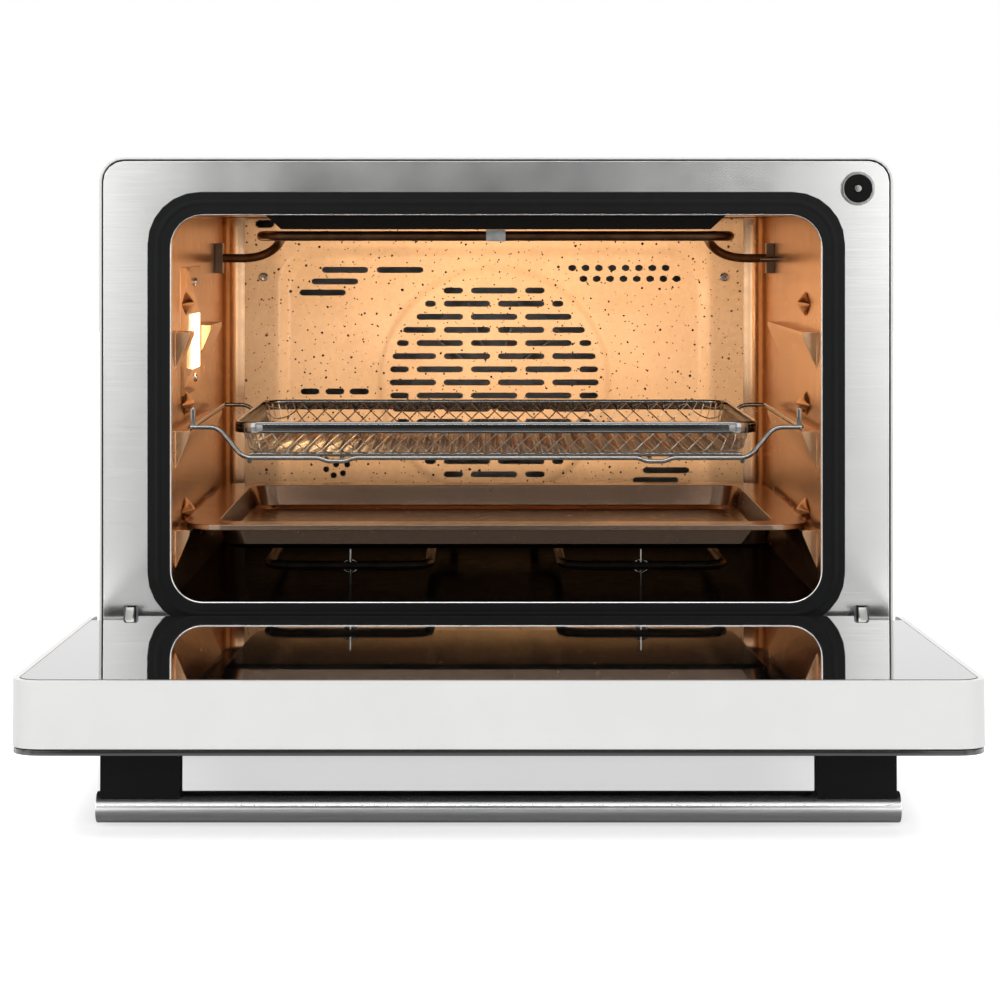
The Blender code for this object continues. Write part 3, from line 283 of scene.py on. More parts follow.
finish = {
    "white_casing": powderCoatedSteel(),
    "brushed_steel": brushedStainless("brushedStainless"),
    "satin_steel_bar": brushedStainless("satinAnodised", "#E6E6E7", "#F0F0F1", 0.19, 0.23, 0.0006),
    "chrome": brightWire("chromedWire"),
    # the basket wire's cream tint is painted warm lamplight
    "basket_steel": brightWire("basketWire", "#E0D4C2", "#EEE4D4", 0.3, 0.42),
    "zinc_sheet": galvanisedSheet(),
    "speckled_enamel": speckledEnamel(),
    "cavity_steel": stainlessWithPaintedLampWarmth(),
    "dark_enamel": darkEnamel(),
    "gasket_silicone": siliconeSeal(),
    "black_glass": blackGlass(),
    "edge_glass": blackGlass("backPaintedGlass", "#060606", "#090909", 0.05, 0.09),
    "black_plastic": mouldedPlastic(),
    "rubber_foot": rubberFoot(),
    "element_steel": oxidisedSheath(),
    "tray_coating": nonStickCoat(),
    "lamp_glass": litGlass(),
    "insulation": fibreBlanket(),
    "circuit_board": circuitLaminate(),
    "brass": turnedBrass(),
}
print("materials made:", len(finish))


# making pieces
def deselect():
    bpy.ops.object.select_all(action="DESELECT")


def choose(*objects):
    deselect()
    for obj in objects:
        obj.select_set(True)
    bpy.context.view_layer.objects.active = objects[-1]


def placeDown(obj, name):
    # names it and puts its place into its mesh
    choose(obj)
    bpy.ops.object.transform_apply(location=True, rotation=True, scale=True)
    obj.name = name
    obj.data.name = name
    return obj


def change(obj, kind, **settings):
    # applies one modifier
    choose(obj)
    made = obj.modifiers.new(kind, kind)
    for name, value in settings.items():
        setattr(made, name, value)
    bpy.ops.object.modifier_apply(modifier=made.name)
    return obj


def ease(obj, width, segments, angle=40):
    # rounds the edges sharper than the angle
    return change(obj, "BEVEL", width=width, segments=segments, limit_method="ANGLE",
                  angle_limit=math.radians(angle))


def smooth(obj, angle=35):
    choose(obj)
    bpy.ops.object.shade_smooth_by_angle(angle=math.radians(angle))
    return obj


def give(obj, slotName, body, *stoodFor, material=None):
    # its material, body and slot, and the nodes that it stands for
    obj.data.materials.clear()
    obj.data.materials.append(material or finish[slotName])
    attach(obj, body)
    if stoodFor:
        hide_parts(*stoodFor)
    return obj


def ownCopy(obj):
    # a copy with its own mesh, no parent and no properties
    made = obj.copy()
    made.data = obj.data.copy()
    made.parent = None
    for key in list(made.keys()):
        del made[key]
    bpy.context.scene.collection.objects.link(made)
    return made


bodyOf = {name: body for body, members in frame["record"]["behaviour"]["bodies"].items() for name in members}
slotOf = {entry["node"]: entry["material_slot"] for entry in frame["record"]["subparts"]}


def refined(name, edgeMm=0.4, steps=2, material=None):
    # a merged copy of a plain node, its flat faces joined, its edges eased
    deselect()
    obj = ownCopy(frame["nodes"][name])
    choose(obj)
    bpy.ops.object.mode_set(mode="EDIT")
    bpy.ops.mesh.select_all(action="SELECT")
    bpy.ops.mesh.remove_doubles(threshold=0.00001)
    bpy.ops.mesh.customdata_custom_splitnormals_clear()
    bpy.ops.mesh.dissolve_limited(angle_limit=math.radians(0.6))
    bpy.ops.object.mode_set(mode="OBJECT")
    if edgeMm:
        ease(obj, edgeMm / 1000, steps)
    smooth(obj)
    change(obj, "WEIGHTED_NORMAL", keep_sharp=True)
    placeDown(obj, name + ".piece")
    return give(obj, slotOf[name], bodyOf[name], name, material=material)


for name in frame["nodes"]:
    frame["nodes"][name].data.materials.clear()
    frame["nodes"][name].data.materials.append(finish[slotOf[name]])

# camera, floor and light
studio = {"distance": 1.75, "height": 0.3172, "side": -0.0077, "lens": 100.04, "shiftX": 0.016, "shiftY": -0.268}
bpy.ops.object.camera_add(location=(studio["side"], at(-studio["distance"]), studio["height"]),
                          rotation=(math.radians(90), 0, 0))
camera = bpy.context.active_object
camera.data.lens = studio["lens"]
camera.data.shift_x = studio["shiftX"]
camera.data.shift_y = studio["shiftY"]
bpy.context.scene.camera = camera


def softbox(name, place, aim, width, height, watts, colour="#FFFFFF"):
    bpy.ops.object.light_add(type="AREA", location=place)
    lamp = bpy.context.active_object
    lamp.name = name
    lamp.data.shape = "RECTANGLE"
    lamp.data.size, lamp.data.size_y = width, height
    lamp.data.energy = watts
    lamp.data.color = linear(colour)[:3]
    lamp.rotation_euler = (Vector(aim) - Vector(place)).to_track_quat("-Z", "Y").to_euler()
    return lamp


# boxes that light the whole object, cards that show in the polished front and the handle
centre = (0, at(0.15), 0.2)
softbox("topBox", (0, -0.9, 2.2), centre, 2.2, 1.6, 22)
softbox("leftBox", (-1.9, -1.5, 0.8), centre, 1.1, 1.5, 9)
softbox("leftCard", (-0.98, -2.35, 0.30), (-0.2, at(0), 0.24), 0.85, 0.62, 1.42)
softbox("rightBox", (1.9, -1.5, 0.8), centre, 1.1, 1.5, 9)
softbox("rightCard", (0.96, -2.35, 0.30), (0.2, at(0), 0.24), 0.85, 0.62, 1.42)
softbox("barCard", (0, -1.9, 0.66), (0, -0.33, 0.03), 0.9, 0.05, 1.5)
softbox("backBox", (0, 2.2, 1.4), centre, 2.4, 1.2, 12)

# air: white to the eye, in mirrors and through glass, dimmer as a light
world = bpy.data.worlds.new("studioAir")
bpy.context.scene.world = world
world.use_nodes = True
air = world.node_tree
path = addNode(air, "ShaderNodeLightPath").outputs
seen = addNode(air, "ShaderNodeMath", links={0: path["Is Camera Ray"], 1: path["Is Transmission Ray"]},
               operation="MAXIMUM")
seen = addNode(air, "ShaderNodeMath", links={0: seen.outputs[0], 1: path["Is Glossy Ray"]}, operation="MAXIMUM")
soft = air.nodes["Background"]
soft.inputs["Color"].default_value = grey(1.0)
soft.inputs["Strength"].default_value = 0.45
white = addNode(air, "ShaderNodeBackground", {"Color": grey(1.0), "Strength": 1.0})
mixed = addNode(air, "ShaderNodeMixShader", links={0: seen.outputs[0], 1: soft.outputs[0], 2: white.outputs[0]})
air.links.new(mixed.outputs[0], air.nodes["World Output"].inputs["Surface"])

# pale floor, white away from the object; for polished metal just above it, painted shade makes the floor look darker,
# and a painted highlight adds a band in front of the door that glows only in mirrors (distances from the middle of the
# floor in metres)
ground = {"size": 14, "inMirrors": 0.42, "glow": {"From Min": 0.7, "From Max": 1.6, "To Min": 0.60, "To Max": 1.0},
          "bandStart": {"From Min": 0.42, "From Max": 0.52, "To Min": 0.0, "To Max": 0.9},
          "bandEnd": {"From Min": 0.72, "From Max": 0.80, "To Min": 1.0, "To Max": 0.0}}
deselect()
bpy.ops.mesh.primitive_plane_add(size=ground["size"], location=(0, 0, cadLow.z))
table = placeDown(bpy.context.active_object, "studioFloor")
material = startMaterial("paleFloor", **{"Roughness": 0.2})
made, tree, surface, place = material
dress(material, (300, "#F4F4F4", "#F8F8F8"))
paint = surface.inputs["Base Color"].links[0].from_socket
path = addNode(tree, "ShaderNodeLightPath").outputs
pale = addNode(tree, "ShaderNodeMix", {7: grey(ground["inMirrors"])}, {0: path["Is Glossy Ray"], 6: paint},
               data_type="RGBA")
tree.links.new(pale.outputs[2], surface.inputs["Base Color"])
surface.inputs["Emission Color"].default_value = grey(1.0)
away = addNode(tree, "ShaderNodeVectorMath", links={0: place}, operation="LENGTH").outputs["Value"]
fading = [addNode(tree, "ShaderNodeMapRange", ground[part], {"Value": away}).outputs["Result"]
          for part in ("glow", "bandStart", "bandEnd")]
glow = addNode(tree, "ShaderNodeMath", links={0: path["Is Camera Ray"], 1: fading[0]}, operation="MULTIPLY")
band = addNode(tree, "ShaderNodeMath", links={0: fading[1], 1: fading[2]}, operation="MULTIPLY")
glow = addNode(tree, "ShaderNodeMath", links={0: path["Is Glossy Ray"], 1: band.outputs[0], 2: glow.outputs[0]},
               operation="MULTIPLY_ADD")
tree.links.new(glow.outputs[0], surface.inputs["Emission Strength"])
table.data.materials.append(made)

# a dark cloth behind the camera, seen only in polished metal
deselect()
bpy.ops.mesh.primitive_plane_add(size=1, location=(0, -2.15, 0.46), rotation=(math.radians(90), 0, 0),
                                 scale=(0.12, 0.46, 1))
cloth = placeDown(bpy.context.active_object, "darkCloth")
cloth.data.materials.append(dress(startMaterial("blackMolton", **{"Roughness": 1.0}), (4, "#404040", "#484848")))
cloth.visible_camera = cloth.visible_diffuse = cloth.visible_shadow = cloth.visible_transmission = False

# the oven's own warm light: a strip under the ceiling, and a soft point beside the lamp lens
ovenGlow = {"stripWatts": 1.0, "stripColour": "#FFC68E", "stripWidth": 0.26, "stripHeight": 0.03, "pointWatts": 0.76,
            "pointColour": "#FFCB94", "pointSize": 0.03, "pointIn": 0.11, "pointUp": 0.02}
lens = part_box("lamp_lens")
lampAt = (lens[0] + lens[1]) / 2
ovenStrip = softbox("ovenStrip", (0.05, at(0.115), 0.300), (0.06, backY, 0.19), ovenGlow["stripWidth"],
                    ovenGlow["stripHeight"], ovenGlow["stripWatts"], ovenGlow["stripColour"])
ovenStrip.visible_camera = ovenStrip.visible_glossy = False
bpy.ops.object.light_add(type="POINT", location=(lampAt.x + ovenGlow["pointIn"], lampAt.y,
                                                 lampAt.z + ovenGlow["pointUp"]))
ovenLight = bpy.context.active_object
ovenLight.name = "ovenLight"
ovenLight.data.energy = ovenGlow["pointWatts"]
ovenLight.data.color = linear(ovenGlow["pointColour"])[:3]
ovenLight.data.shadow_soft_size = ovenGlow["pointSize"]
ovenLight.visible_glossy = False
print("camera and light ready")


# shapes used by several pieces
def editing(obj):
    choose(obj)
    bpy.ops.object.mode_set(mode="EDIT")


def done():
    bpy.ops.object.mode_set(mode="OBJECT")


def pick(obj, kind, test):
    # in edit mode, selects only the faces or edges that pass the test
    mesh = bmesh.from_edit_mesh(obj.data)
    bpy.ops.mesh.select_mode(type=kind)
    bpy.ops.mesh.select_all(action="DESELECT")
    for item in mesh.faces if kind == "FACE" else mesh.edges:
        item.select_set(test(item))
    mesh.select_flush_mode()
    bmesh.update_edit_mesh(obj.data)


def pickFaces(obj, direction):
    # the faces that look along the direction
    pick(obj, "FACE", lambda face: face.normal.dot(Vector(direction)) > 0.9)


def pickEdges(obj, test):
    # the edges whose two ends pass the test
    pick(obj, "EDGE", lambda edge: test(edge.verts[0].co, edge.verts[1].co))


def faceOut(obj):
    editing(obj)
    bpy.ops.mesh.select_all(action="SELECT")
    bpy.ops.mesh.normals_make_consistent(inside=False)
    done()


def block(low, high, name):
    deselect()
    low, high = Vector(low), Vector(high)
    bpy.ops.mesh.primitive_cube_add(size=1, location=(low + high) / 2, scale=high - low)
    return placeDown(bpy.context.active_object, name)


def roundedBlock(low, high, axis, radius, name, segments=10):
    # a block with the four edges along one axis rounded
    made = block(low, high, name)
    editing(made)
    pickEdges(made, lambda a, b: abs(abs(a[axis] - b[axis]) - abs(high[axis] - low[axis])) < 1e-5)
    bpy.ops.mesh.bevel(offset=radius, segments=segments, affect="EDGES")
    done()
    return made


def roundedPath(points, radius, steps=6, closed=False):
    # the points of a line with its corners turned on a radius
    points = [Vector(p) for p in points]
    result = [] if closed else [points[0]]
    order = range(len(points)) if closed else range(1, len(points) - 1)
    for i in order:
        before, corner, after = points[i - 1], points[i], points[(i + 1) % len(points)]
        one, two = (before - corner).normalized(), (after - corner).normalized()
        half = one.angle(two) / 2
        reach = min(radius / math.tan(half), (before - corner).length * 0.49, (after - corner).length * 0.49)
        swing = reach * math.tan(half)
        middle = corner + (one + two).normalized() * swing / math.sin(half)
        start, end = corner + one * reach, corner + two * reach
        for k in range(steps + 1):
            turned = (start - middle).slerp(end - middle, k / steps).normalized()
            result.append(middle + turned * (start - middle).length)
    return result if closed else result + [points[-1]]


def addLine(data, points, closed):
    # one polygon line in a curve
    spline = data.splines.new("POLY")
    spline.points.add(len(points) - 1)
    spline.points.foreach_set("co", [v for p in points for v in (*p, 1.0)])
    spline.use_cyclic_u = closed


def linked(name, data):
    made = bpy.data.objects.new(name, data)
    bpy.context.scene.collection.objects.link(made)
    return made


def toMesh(obj):
    choose(obj)
    bpy.ops.object.convert(target="MESH")
    return bpy.context.active_object


def wire(lines, radius, name, closed=False, sides=2):
    # round wires along the lines
    data = bpy.data.curves.new(name, "CURVE")
    data.dimensions = "3D"
    data.bevel_depth = radius
    data.bevel_resolution = sides
    data.use_fill_caps = not closed
    for line in lines:
        addLine(data, line, closed)
    return smooth(placeDown(toMesh(linked(name, data)), name), 50)


def outline(width, height, radius, centreAt, axes=(0, 2), steps=10):
    # a rounded rectangle in the plane of two axes
    corners = []
    for sx, sy in ((-1, -1), (1, -1), (1, 1), (-1, 1)):
        point = Vector(centreAt)
        point[axes[0]] += sx * width / 2
        point[axes[1]] += sy * height / 2
        corners.append(point)
    return roundedPath(corners, radius, steps, closed=True)


def copyTo(obj, name, matrix):
    made = ownCopy(obj)
    made.matrix_world = matrix
    return placeDown(made, name)


def cut(obj, tool, operation="DIFFERENCE"):
    change(obj, "BOOLEAN", object=tool, operation=operation, solver="EXACT")
    bpy.data.objects.remove(tool)
    return obj


# nodes carried over with merged faces and eased edges
remade = {"wire_rack", "basket_mesh", "basket_rim", "fan_baffle", "element_clip_left", "element_clip_right",
          "upper_element"}
easing = {"outer_cabinet": 0.5, "door_casing": 0.8, "door_outer_glass": 0.4, "door_inner_glass": 0.25,
          "handle_bar": 0.7, "handle_post_left": 1.0, "handle_post_right": 1.0, "baking_tray": 0.4,
          "door_gasket": 0.6, "front_frame": 0.3, "foot_front_left": 0.8, "foot_front_right": 0.8,
          "foot_rear_left": 0.8, "foot_rear_right": 0.8}
screwSteel = brightWire("screwSteel", "#D6D4D0", "#E4E2DE", 0.1, 0.16)
rimSteel = brightWire("rimSteel", "#7E7D7C", "#8A8988", 0.08, 0.12)
dullSteel = brightWire("heatedSteel", "#7D6A5B", "#93806F", 0.28, 0.4)
# painted light: the ceiling reflector's enamel is lifted from black to dark grey to stand in for light that its shade
# lacks
reflectorPaintedLight = darkEnamel("ceilingEnamel", "#202020", "#262626")
special = {"lower_element": oxidisedSheath("shadedSheath", "#2E2620", "#3D332B"),
           "door_outer_glass": finish["edge_glass"], "element_bracket_left": dullSteel,
           "element_bracket_right": dullSteel, "top_reflector": reflectorPaintedLight}
for name in frame["nodes"]:
    if name not in remade:
        refined(name, easing.get(name, 0.3), 3 if name in easing else 2, special.get(name))
print("plain nodes refined")

# slotted back panel: the node's slots, cut into a pressed sheet with a low dome over the fan
baffle = {"sheet": 0.001, "press": 0.0045, "fieldX": 0.1645, "fieldHalfZ": 0.105, "fieldLow": 0.012,
          "fieldHigh": 0.021, "fieldRound": 0.03, "slope": 0.008, "domeR": 0.0895, "domeRise": 0.0024,
          "domeSlope": 0.005, "bend": 0.0022, "skin": 0.0001, "slotStretch": 14}


def makeBaffle():
    low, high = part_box("fan_baffle")
    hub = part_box("fan_impeller")
    fanZ = (hub[0].z + hub[1].z) / 2
    pressed = low.y + baffle["press"]
    middle = low.y + baffle["sheet"] / 2
    skin = baffle["skin"]
    slots = block((low.x + skin, low.y, low.z + skin), (high.x - skin, low.y + baffle["sheet"], high.z - skin), "slots")
    plate = refined("fan_baffle", 0)
    cut(slots, copyTo(plate, "solid", Matrix.Identity(4)))
    slots.matrix_world = (Matrix.Translation((0, middle, 0)) @ Matrix.Diagonal((1, baffle["slotStretch"], 1, 1))
                          @ Matrix.Translation((0, -middle, 0)))
    placeDown(slots, "slots")
    sheet = block(low, (high.x, pressed + baffle["sheet"], high.z), "backPanel")
    recess = roundedBlock((-baffle["fieldX"], low.y - 0.001, low.z + baffle["fieldLow"]),
                          (baffle["fieldX"], pressed, high.z - baffle["fieldHigh"]), 1, baffle["fieldRound"], "recess")
    editing(recess)
    pickFaces(recess, (0, 1, 0))
    bpy.ops.transform.resize(value=(1 - baffle["slope"] / baffle["fieldX"], 1,
                                    1 - baffle["slope"] / baffle["fieldHalfZ"]))
    done()
    cut(sheet, recess)
    deselect()
    bpy.ops.mesh.primitive_cone_add(vertices=72, radius1=baffle["domeR"], radius2=baffle["domeR"] - baffle["domeSlope"],
                                    depth=baffle["domeRise"], rotation=(math.radians(90), 0, 0),
                                    location=(0, pressed - baffle["domeRise"] / 2 + skin, fanZ))
    cut(sheet, placeDown(bpy.context.active_object, "dome"), "UNION")
    ease(sheet, baffle["bend"], 4, 15)
    cut(sheet, slots)
    smooth(sheet, 40)
    bpy.data.objects.remove(plate)
    return give(sheet, "speckled_enamel", "root", "fan_baffle")


makeBaffle()

# screws: pan head with a cross recess; sunk keeps the head's foot in the sheet
screw = {"headR": 0.0036, "headH": 0.0022, "crown": 0.0012, "recess": 0.0034, "recessW": 0.0008, "sunk": 0.0004}


def makeScrew():
    deselect()
    bpy.ops.mesh.primitive_cylinder_add(vertices=32, radius=screw["headR"], depth=screw["headH"],
                                        location=(0, 0, screw["headH"] / 2))
    made = placeDown(bpy.context.active_object, "screwHead")
    editing(made)
    pickFaces(made, (0, 0, 1))
    bpy.ops.mesh.bevel(offset=screw["crown"], segments=5, affect="EDGES")
    done()
    for x, y in ((screw["recessW"] / 2, screw["recess"] / 2), (screw["recess"] / 2, screw["recessW"] / 2)):
        cut(made, block((-x, -y, screw["headH"] * 0.35), (x, y, screw["headH"] * 2), "slot"))
    return smooth(made, 30)


master = makeScrew()


def putScrew(name, spot, direction, slotName="chrome", scale=1.0, material=None):
    turn = Vector(direction).to_track_quat("Z", "Y").to_matrix().to_4x4()
    made = copyTo(master, name, Matrix.Translation(spot) @ turn @ Matrix.Diagonal((scale, scale, scale, 1)))
    return give(smooth(made, 30), slotName, "root", material=material)


for side, label in leftAndRight:
    putScrew("panelScrew." + label, (side * 0.175, backY - 0.0001, 0.283), (0, -1, 0), "chrome", 0.95, screwSteel)
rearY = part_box("rear_cover")[1].y
rearSpots = ((-0.225, 0.04), (0.225, 0.04), (-0.225, 0.19), (0.225, 0.19),
             (-0.225, 0.335), (0.225, 0.335), (0, 0.04), (0, 0.345))
for i, (x, z) in enumerate(rearSpots):
    putScrew("rearScrew.%d" % i, (x, rearY - screw["sunk"], z), (0, 1, 0), "zinc_sheet")

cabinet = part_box("outer_cabinet")
sideSpots = ((cabinet[1].y - 0.016, 0.045), (cabinet[1].y - 0.016, 0.325),
             (cabinet[0].y + 0.060, 0.030), (cabinet[1].y - 0.150, 0.030))
for side, label in leftAndRight:
    for i, (y, z) in enumerate(sideSpots):
        putScrew("sideScrew.%s.%d" % (label, i), (side * (cabinet[1].x - screw["sunk"]), y, z), (side, 0, 0),
                 "zinc_sheet", 0.85)

# blank rating plate with two rivets
ratingPlate = {"width": 0.090, "height": 0.045, "thick": 0.0005, "x": 0.060, "z": 0.105, "round": 0.004,
               "rivetR": 0.0018, "rivetIn": 0.005}
halfW, halfH, plateY = ratingPlate["width"] / 2, ratingPlate["height"] / 2, rearY + ratingPlate["thick"]
plate = roundedBlock((ratingPlate["x"] - halfW, rearY - 0.0003, ratingPlate["z"] - halfH),
                     (ratingPlate["x"] + halfW, plateY, ratingPlate["z"] + halfH), 1, ratingPlate["round"],
                     "ratingPlate")
give(smooth(plate, 30), "satin_steel_bar", "root")
for i, side in enumerate((-1, 1)):
    deselect()
    spot = (ratingPlate["x"] + side * (halfW - ratingPlate["rivetIn"]), plateY, ratingPlate["z"])
    bpy.ops.mesh.primitive_uv_sphere_add(segments=20, ring_count=10, radius=ratingPlate["rivetR"], location=spot,
                                         scale=(1, 0.4, 1))
    rivet = placeDown(bpy.context.active_object, "plateRivet.%d" % i)
    cut(rivet, block((-1, rearY - 0.02, -1), (1, plateY - 0.0002, 1), "under"))
    give(smooth(rivet, 60), "chrome", "root")

# pressed diamonds that carry the tray and rack, three on each wall
walls = {"diamondH": 0.0102, "diamondD": 0.028, "proud": 0.0085, "depth": 0.080, "face": 0.2046,
         "rows": (0.1345, 0.2045, 0.2700)}


def makeDiamond():
    deselect()
    bpy.ops.mesh.primitive_cone_add(vertices=4, radius1=1, depth=1, location=(0, 0, 0.5))
    made = placeDown(bpy.context.active_object, "diamond")
    editing(made)
    bpy.ops.mesh.select_all(action="SELECT")
    bpy.ops.mesh.subdivide(number_cuts=5, smoothness=0)
    done()
    made.matrix_world = Matrix.Diagonal((walls["diamondD"], walls["diamondH"], walls["proud"], 1))
    placeDown(made, "diamond")
    change(made, "SMOOTH", factor=0.5, iterations=7)
    return smooth(made, 60)


diamond = makeDiamond()
for side, label in leftAndRight:
    facing = Matrix(((0, 0, -side, 0), (1, 0, 0, 0), (0, 1, 0, 0), (0, 0, 0, 1)))
    for i, height in enumerate(walls["rows"]):
        spot = Matrix.Translation((side * walls["face"], at(walls["depth"]), height))
        made = copyTo(diamond, "diamond.%s.%d" % (label, i), spot @ facing)
        faceOut(made)
        give(smooth(made, 60), "cavity_steel", "root")
bpy.data.objects.remove(diamond)

# plate round the lamp lens: level with the lens, sloping back to the wall at its front edge
lampPlate = {"front": 0.050, "back": 0.1612, "low": 0.2100, "high": 0.2940, "face": -0.2025, "under": -0.2048,
             "ramp": 0.0018, "gap": 0.0002, "cutLow": (-0.2044, at(0.052), 0.2200),
             "cutHigh": (-0.1900, at(0.1075), 0.2600), "screwDepth": 0.128}
cut(bpy.data.objects["cavity_left_wall.piece"], block(lampPlate["cutLow"], lampPlate["cutHigh"], "gap"))
plate = block((lampPlate["under"], at(lampPlate["front"]), lampPlate["low"]),
              (lampPlate["face"], at(lampPlate["back"]), lampPlate["high"]), "lampPlate")
editing(plate)
pickEdges(plate, lambda a, b: (min(a.x, b.x) > lampPlate["face"] - 1e-5
                               and max(a.y, b.y) < at(lampPlate["front"]) + 1e-5))
bpy.ops.transform.translate(value=(-lampPlate["ramp"], 0, 0))
done()
gap = lampPlate["gap"]
cut(plate, roundedBlock((-0.21, lens[0].y - gap, lens[0].z - gap), (-0.2, lens[1].y + gap, lens[1].z + gap),
                        0, 0.002, "window"))
ease(plate, 0.0005, 2)
give(smooth(plate, 35), "cavity_steel", "root")
for name, z in (("upper", 0.2835), ("lower", 0.2190)):
    putScrew("lampScrew." + name, (lampPlate["face"] - 0.0006, at(lampPlate["screwDepth"]), z), (1, 0, 0),
             "chrome", 0.8, screwSteel)
bpy.data.objects.remove(master)
print("cavity panel, screws and wall details made")

# a raised ridge on the door seal, and a bright lip round the mouth inside it
mouth = {"width": 0.4104, "height": 0.2445, "lipIn": 0.0016, "lipR": 0.0006, "lipRound": 0.0205,
         "ridgeR": 0.0034, "ridgeIn": 0.0135, "ridgeRound": 0.027, "ridgeRise": 0.0006, "ridgeFlat": 0.22}
low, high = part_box("door_gasket")
midZ = (low.z + high.z) / 2
line = outline(high.x - low.x - mouth["ridgeIn"], high.z - low.z - mouth["ridgeIn"], mouth["ridgeRound"], (0, 0, midZ))
ridge = wire([line], mouth["ridgeR"], "sealRidge", closed=True, sides=4)
ridge.matrix_world = (Matrix.Translation((0, low.y + mouth["ridgeRise"], 0))
                      @ Matrix.Diagonal((1, mouth["ridgeFlat"], 1, 1)))
give(smooth(placeDown(ridge, "sealRidge"), 60), "gasket_silicone", "root")
line = outline(mouth["width"], mouth["height"], mouth["lipRound"], (0, low.y + mouth["lipIn"], midZ))
give(wire([line], mouth["lipR"], "mouthLip", closed=True, sides=3), "brushed_steel", "root")

# pressed front of the ceiling reflector, its lower edge drawn in
low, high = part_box("top_reflector")
shade = block((low.x, low.y - 0.0004, low.z), (high.x, low.y + 0.0012, high.z - 0.0002), "reflectorFront")
editing(shade)
pickFaces(shade, (0, 0, -1))
bpy.ops.transform.resize(value=((high.x - 0.011) / high.x, 1, 1))
done()
ease(shade, 0.0006, 3)
give(smooth(shade, 40), "dark_enamel", "root", material=reflectorPaintedLight)

# upper element: a bent tube that drops to its two entries in the walls
heater = {"tubeR": 0.00325, "side": 0.1545, "turn": 0.030, "round": 0.018, "entry": 0.298, "front": 0.068,
          "depth": 0.287}
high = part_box("upper_element")[1]
topZ, entryY, frontBendY = high.z - heater["tubeR"], at(heater["depth"]), at(heater["front"])
loopX, turn, entry = heater["side"], heater["turn"], heater["entry"]
bend = interpolate_bezier((loopX + turn, entryY, entry), (loopX + 0.004, entryY, entry),
                          (loopX, entryY - 0.002, topZ), (loopX, entryY - turn, topZ), 16)
front = roundedPath([(-loopX, entryY - turn, topZ), (-loopX, frontBendY, topZ), (loopX, frontBendY, topZ),
                     (loopX, entryY - turn, topZ)], heater["round"], 8)
halfLine = [Vector((high.x, entryY, entry))] + list(bend)[:-1]
line = [Vector((-p.x, p.y, p.z)) for p in halfLine] + front + halfLine[::-1]
give(wire([line], heater["tubeR"], "upperHeater", sides=5), "element_steel", "root", "upper_element")

# pins that hold the lower element: a stem with a flattened loop
pin = {"wireR": 0.0008, "loopR": 0.0052, "loopZ": 0.0125, "flat": 0.8}
for side, label in leftAndRight:
    low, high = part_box("element_clip_" + label)
    x, y = (low.x + high.x) / 2, (low.y + high.y) / 2
    stem = [Vector((x, y, low.z)), Vector((x, y, high.z))]
    loop = [Vector((x + pin["loopR"] * math.cos(t), y, low.z + pin["loopZ"] + pin["loopR"] * pin["flat"] * math.sin(t)))
            for t in (math.radians(k) for k in range(-80, 261, 17))]
    made = wire([stem, loop], pin["wireR"], "elementPin." + label, sides=2)
    give(made, "chrome", "root", "element_clip_" + label)

# wire rack: two rails, four runners and nine cross wires, of which the end ones rise to the rails
rack = {"railX": 0.1965, "railZ": 0.1918, "wireR": 0.0015, "bars": 9, "innerTop": 0.1785, "innerLow": 0.1625,
        "low": 0.1721, "bend": 0.012, "runnerX": 0.100, "runnerZ": 0.1699, "dip": 0.0022,
        "dipX": (0.1135, 0.1085, 0.0965, 0.0915), "stub": 0.0125}


def makeRack():
    low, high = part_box("wire_rack")
    front, back = low.y + rack["wireR"], high.y - rack["wireR"]
    lines = []
    for side in (-1, 1):
        lines.append([(side * rack["railX"], y, rack["railZ"]) for y in (front, back)])
        for x in (rack["runnerX"], rack["innerLow"] - 0.004):
            lines.append([(side * x, y, rack["runnerZ"]) for y in (front + 0.001, back - 0.001)])
    for i in range(rack["bars"]):
        y = front + (back - front) * i / (rack["bars"] - 1)
        half = [(rack["railX"], rack["railZ"]), (rack["innerTop"], rack["railZ"]), (rack["innerLow"], rack["low"])]
        if 0 < i < rack["bars"] - 1:
            half = [(rack["innerLow"] - 0.002, rack["low"])]
        if i == 0:
            # the front wire dips round each runner
            half += [(x, rack["low"] - dip) for x, dip in zip(rack["dipX"], (0, rack["dip"], rack["dip"], 0))]
        line = [(-x, y, z) for x, z in half] + [(x, y, z) for x, z in reversed(half)]
        lines.append(roundedPath(line, rack["bend"], 6))
    give(wire(lines, rack["wireR"], "wireRack", sides=3), "chrome", "rack", "wire_rack")
    # stops that stand on the rails' front ends
    for side, label in leftAndRight:
        x = side * (rack["railX"] - rack["wireR"])
        stub = roundedBlock((x - 0.0015, front - 0.001, rack["railZ"] - 0.001),
                            (x + 0.0015, front + 0.005, rack["railZ"] + rack["stub"]), 0, 0.001, "stub", 4)
        ease(stub, 0.0005, 2)
        give(smooth(placeDown(stub, "rackStop." + label), 40), "chrome", "rack")


makeRack()

# woven basket: wires folded over a round-cornered dish, in a folded rim
basket = {"wireR": 0.00042, "pitch": 0.0112, "wallBend": 0.0045, "taper": 0.35, "round": 0.018, "weave": 0.00042,
          "lift": 0.0009, "underRim": 0.0024, "insideRim": 0.0026, "floorEnd": 0.003, "floorSteps": 26,
          "floorWeave": 0.0004, "rimRound": 0.0195, "rimIn": 0.0004}


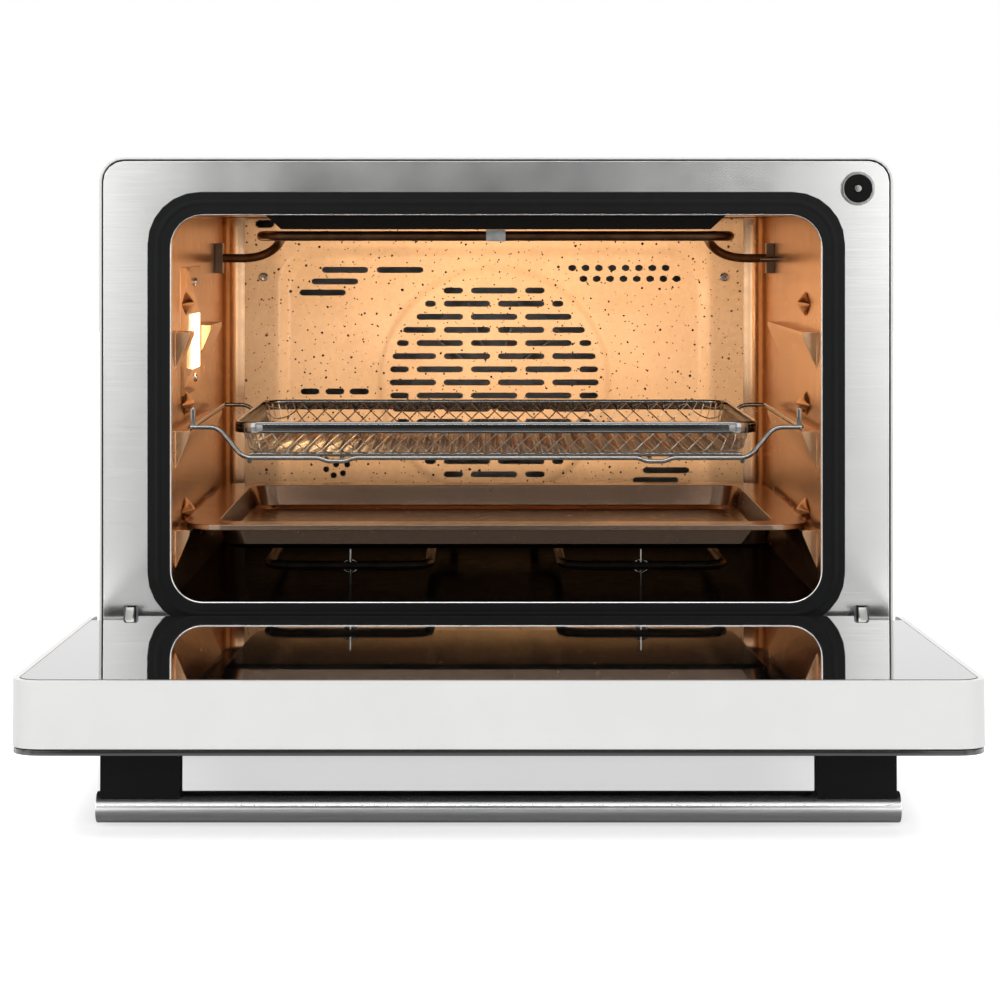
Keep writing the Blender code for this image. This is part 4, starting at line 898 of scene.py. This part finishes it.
def makeWeave():
    low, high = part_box("basket_mesh")
    rimLow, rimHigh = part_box("basket_rim")
    midY = (low.y + high.y) / 2
    turn, taper, corner = basket["wallBend"], basket["taper"], basket["round"]
    floorZ = low.z + basket["lift"]
    rise = rimHigh.z - basket["underRim"] - low.z
    spread = turn + (rise - turn) * taper + basket["insideRim"]
    halfX, halfY = (rimHigh.x - rimLow.x) / 2 - spread, (rimHigh.y - rimLow.y) / 2 - spread
    bendLength = turn * math.pi / 2
    wallLength = bendLength + (rise - turn) * math.hypot(1, taper)

    def fold(u, v, lift):
        # a place on the flat net, folded up where it passes the edge of the floor; None above the wall
        qx, qy = abs(u) - halfX + corner, abs(v) - halfY + corner
        if qx > 0 and qy > 0:
            away = math.hypot(qx, qy)
            out = away - corner
            nx, ny = math.copysign(qx / away, u), math.copysign(qy / away, v)
        elif qx > qy:
            out, nx, ny = qx - corner, math.copysign(1, u), 0
        else:
            out, nx, ny = qy - corner, 0, math.copysign(1, v)
        if out <= 0:
            return Vector((u, midY + v, floorZ + lift))
        if out > wallLength:
            return None
        if out < bendLength:
            angle = out / turn
            side, up = turn * math.sin(angle), turn * (1 - math.cos(angle))
            lean = Vector((-nx * math.sin(angle), -ny * math.sin(angle), math.cos(angle)))
        else:
            rest = (out - bendLength) / math.hypot(1, taper)
            side, up = turn + rest * taper, turn + rest
            lean = Vector((-nx, -ny, taper)).normalized()
        return Vector((u + nx * (side - out), midY + v + ny * (side - out), floorZ + up)) + lean * lift

    lines = []
    reach = halfX + halfY + 2 * wallLength
    cell = basket["pitch"] / math.sqrt(2)
    step = cell / 4
    count = int(reach / basket["pitch"]) + 1
    for slant in (1, -1):
        for k in range(-count, count + 1):
            line = []
            for i in range(int(2 * reach / step)):
                along = -reach + i * step
                u = k * basket["pitch"] / 2 + along / math.sqrt(2)
                v = slant * (-k * basket["pitch"] / 2 + along / math.sqrt(2))
                lift = slant * basket["weave"] * math.cos(math.pi * along / cell + math.pi * k)
                point = fold(u, v, lift)
                if point is not None:
                    line.append(point)
                    continue
                if len(line) > 3:
                    lines.append(line)
                line = []
            if len(line) > 3:
                lines.append(line)
    # straight wires along the floor, between the slanting ones
    pitch, steps = basket["pitch"] / 3, basket["floorSteps"]
    endV = halfY - basket["floorEnd"]
    for k in range(-int(halfX / pitch), int(halfX / pitch) + 1):
        line = [fold(k * pitch, -endV + 2 * endV * i / steps, basket["floorWeave"] * math.cos(math.pi * i))
                for i in range(steps + 1)]
        lines.append([p for p in line if p is not None])
    give(wire(lines, basket["wireR"], "basketWeave", sides=0), "basket_steel", "basket", "basket_mesh")


def makeRim():
    low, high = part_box("basket_rim")
    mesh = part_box("basket_mesh")
    # section from the foot of the crowned outer face over the top to the foot of the inner one:
    # inwards from the outer edge, and up from the top
    shape = [(0.0001, -0.0073), (-0.0001, -0.0068), (-0.00015, -0.0055), (-0.00018, -0.0038), (-0.00015, -0.0021),
             (0.0, -0.0010), (0.0003, -0.0003), (0.0007, 0.0), (0.0014, -0.0002), (0.0018, -0.0009),
             (0.0018, -0.0028), (0.0008, -0.0045), (0.0006, -0.0071)]
    section = bpy.data.curves.new("rimSection", "CURVE")
    addLine(section, [(x, z, 0) for x, z in shape], True)
    sectionObject = linked("rimSection", section)
    data = bpy.data.curves.new("basketRim", "CURVE")
    data.dimensions = "2D"
    data.bevel_mode, data.bevel_object = "OBJECT", sectionObject
    addLine(data, outline(high.x - low.x - basket["rimIn"], high.y - low.y - basket["rimIn"], basket["rimRound"],
                          (0, (mesh[0].y + mesh[1].y) / 2, 0), axes=(0, 1), steps=14), True)
    rim = linked("basketRim", data)
    rim.location.z = high.z
    rim = toMesh(rim)
    bpy.data.objects.remove(sectionObject)
    faceOut(rim)
    placeDown(rim, "basketRim")
    give(smooth(rim, 60), "chrome", "basket", "basket_rim", material=rimSteel)


makeWeave()
makeRim()
print("rack and basket made")

bpy.context.scene.view_settings.view_transform = "Standard"
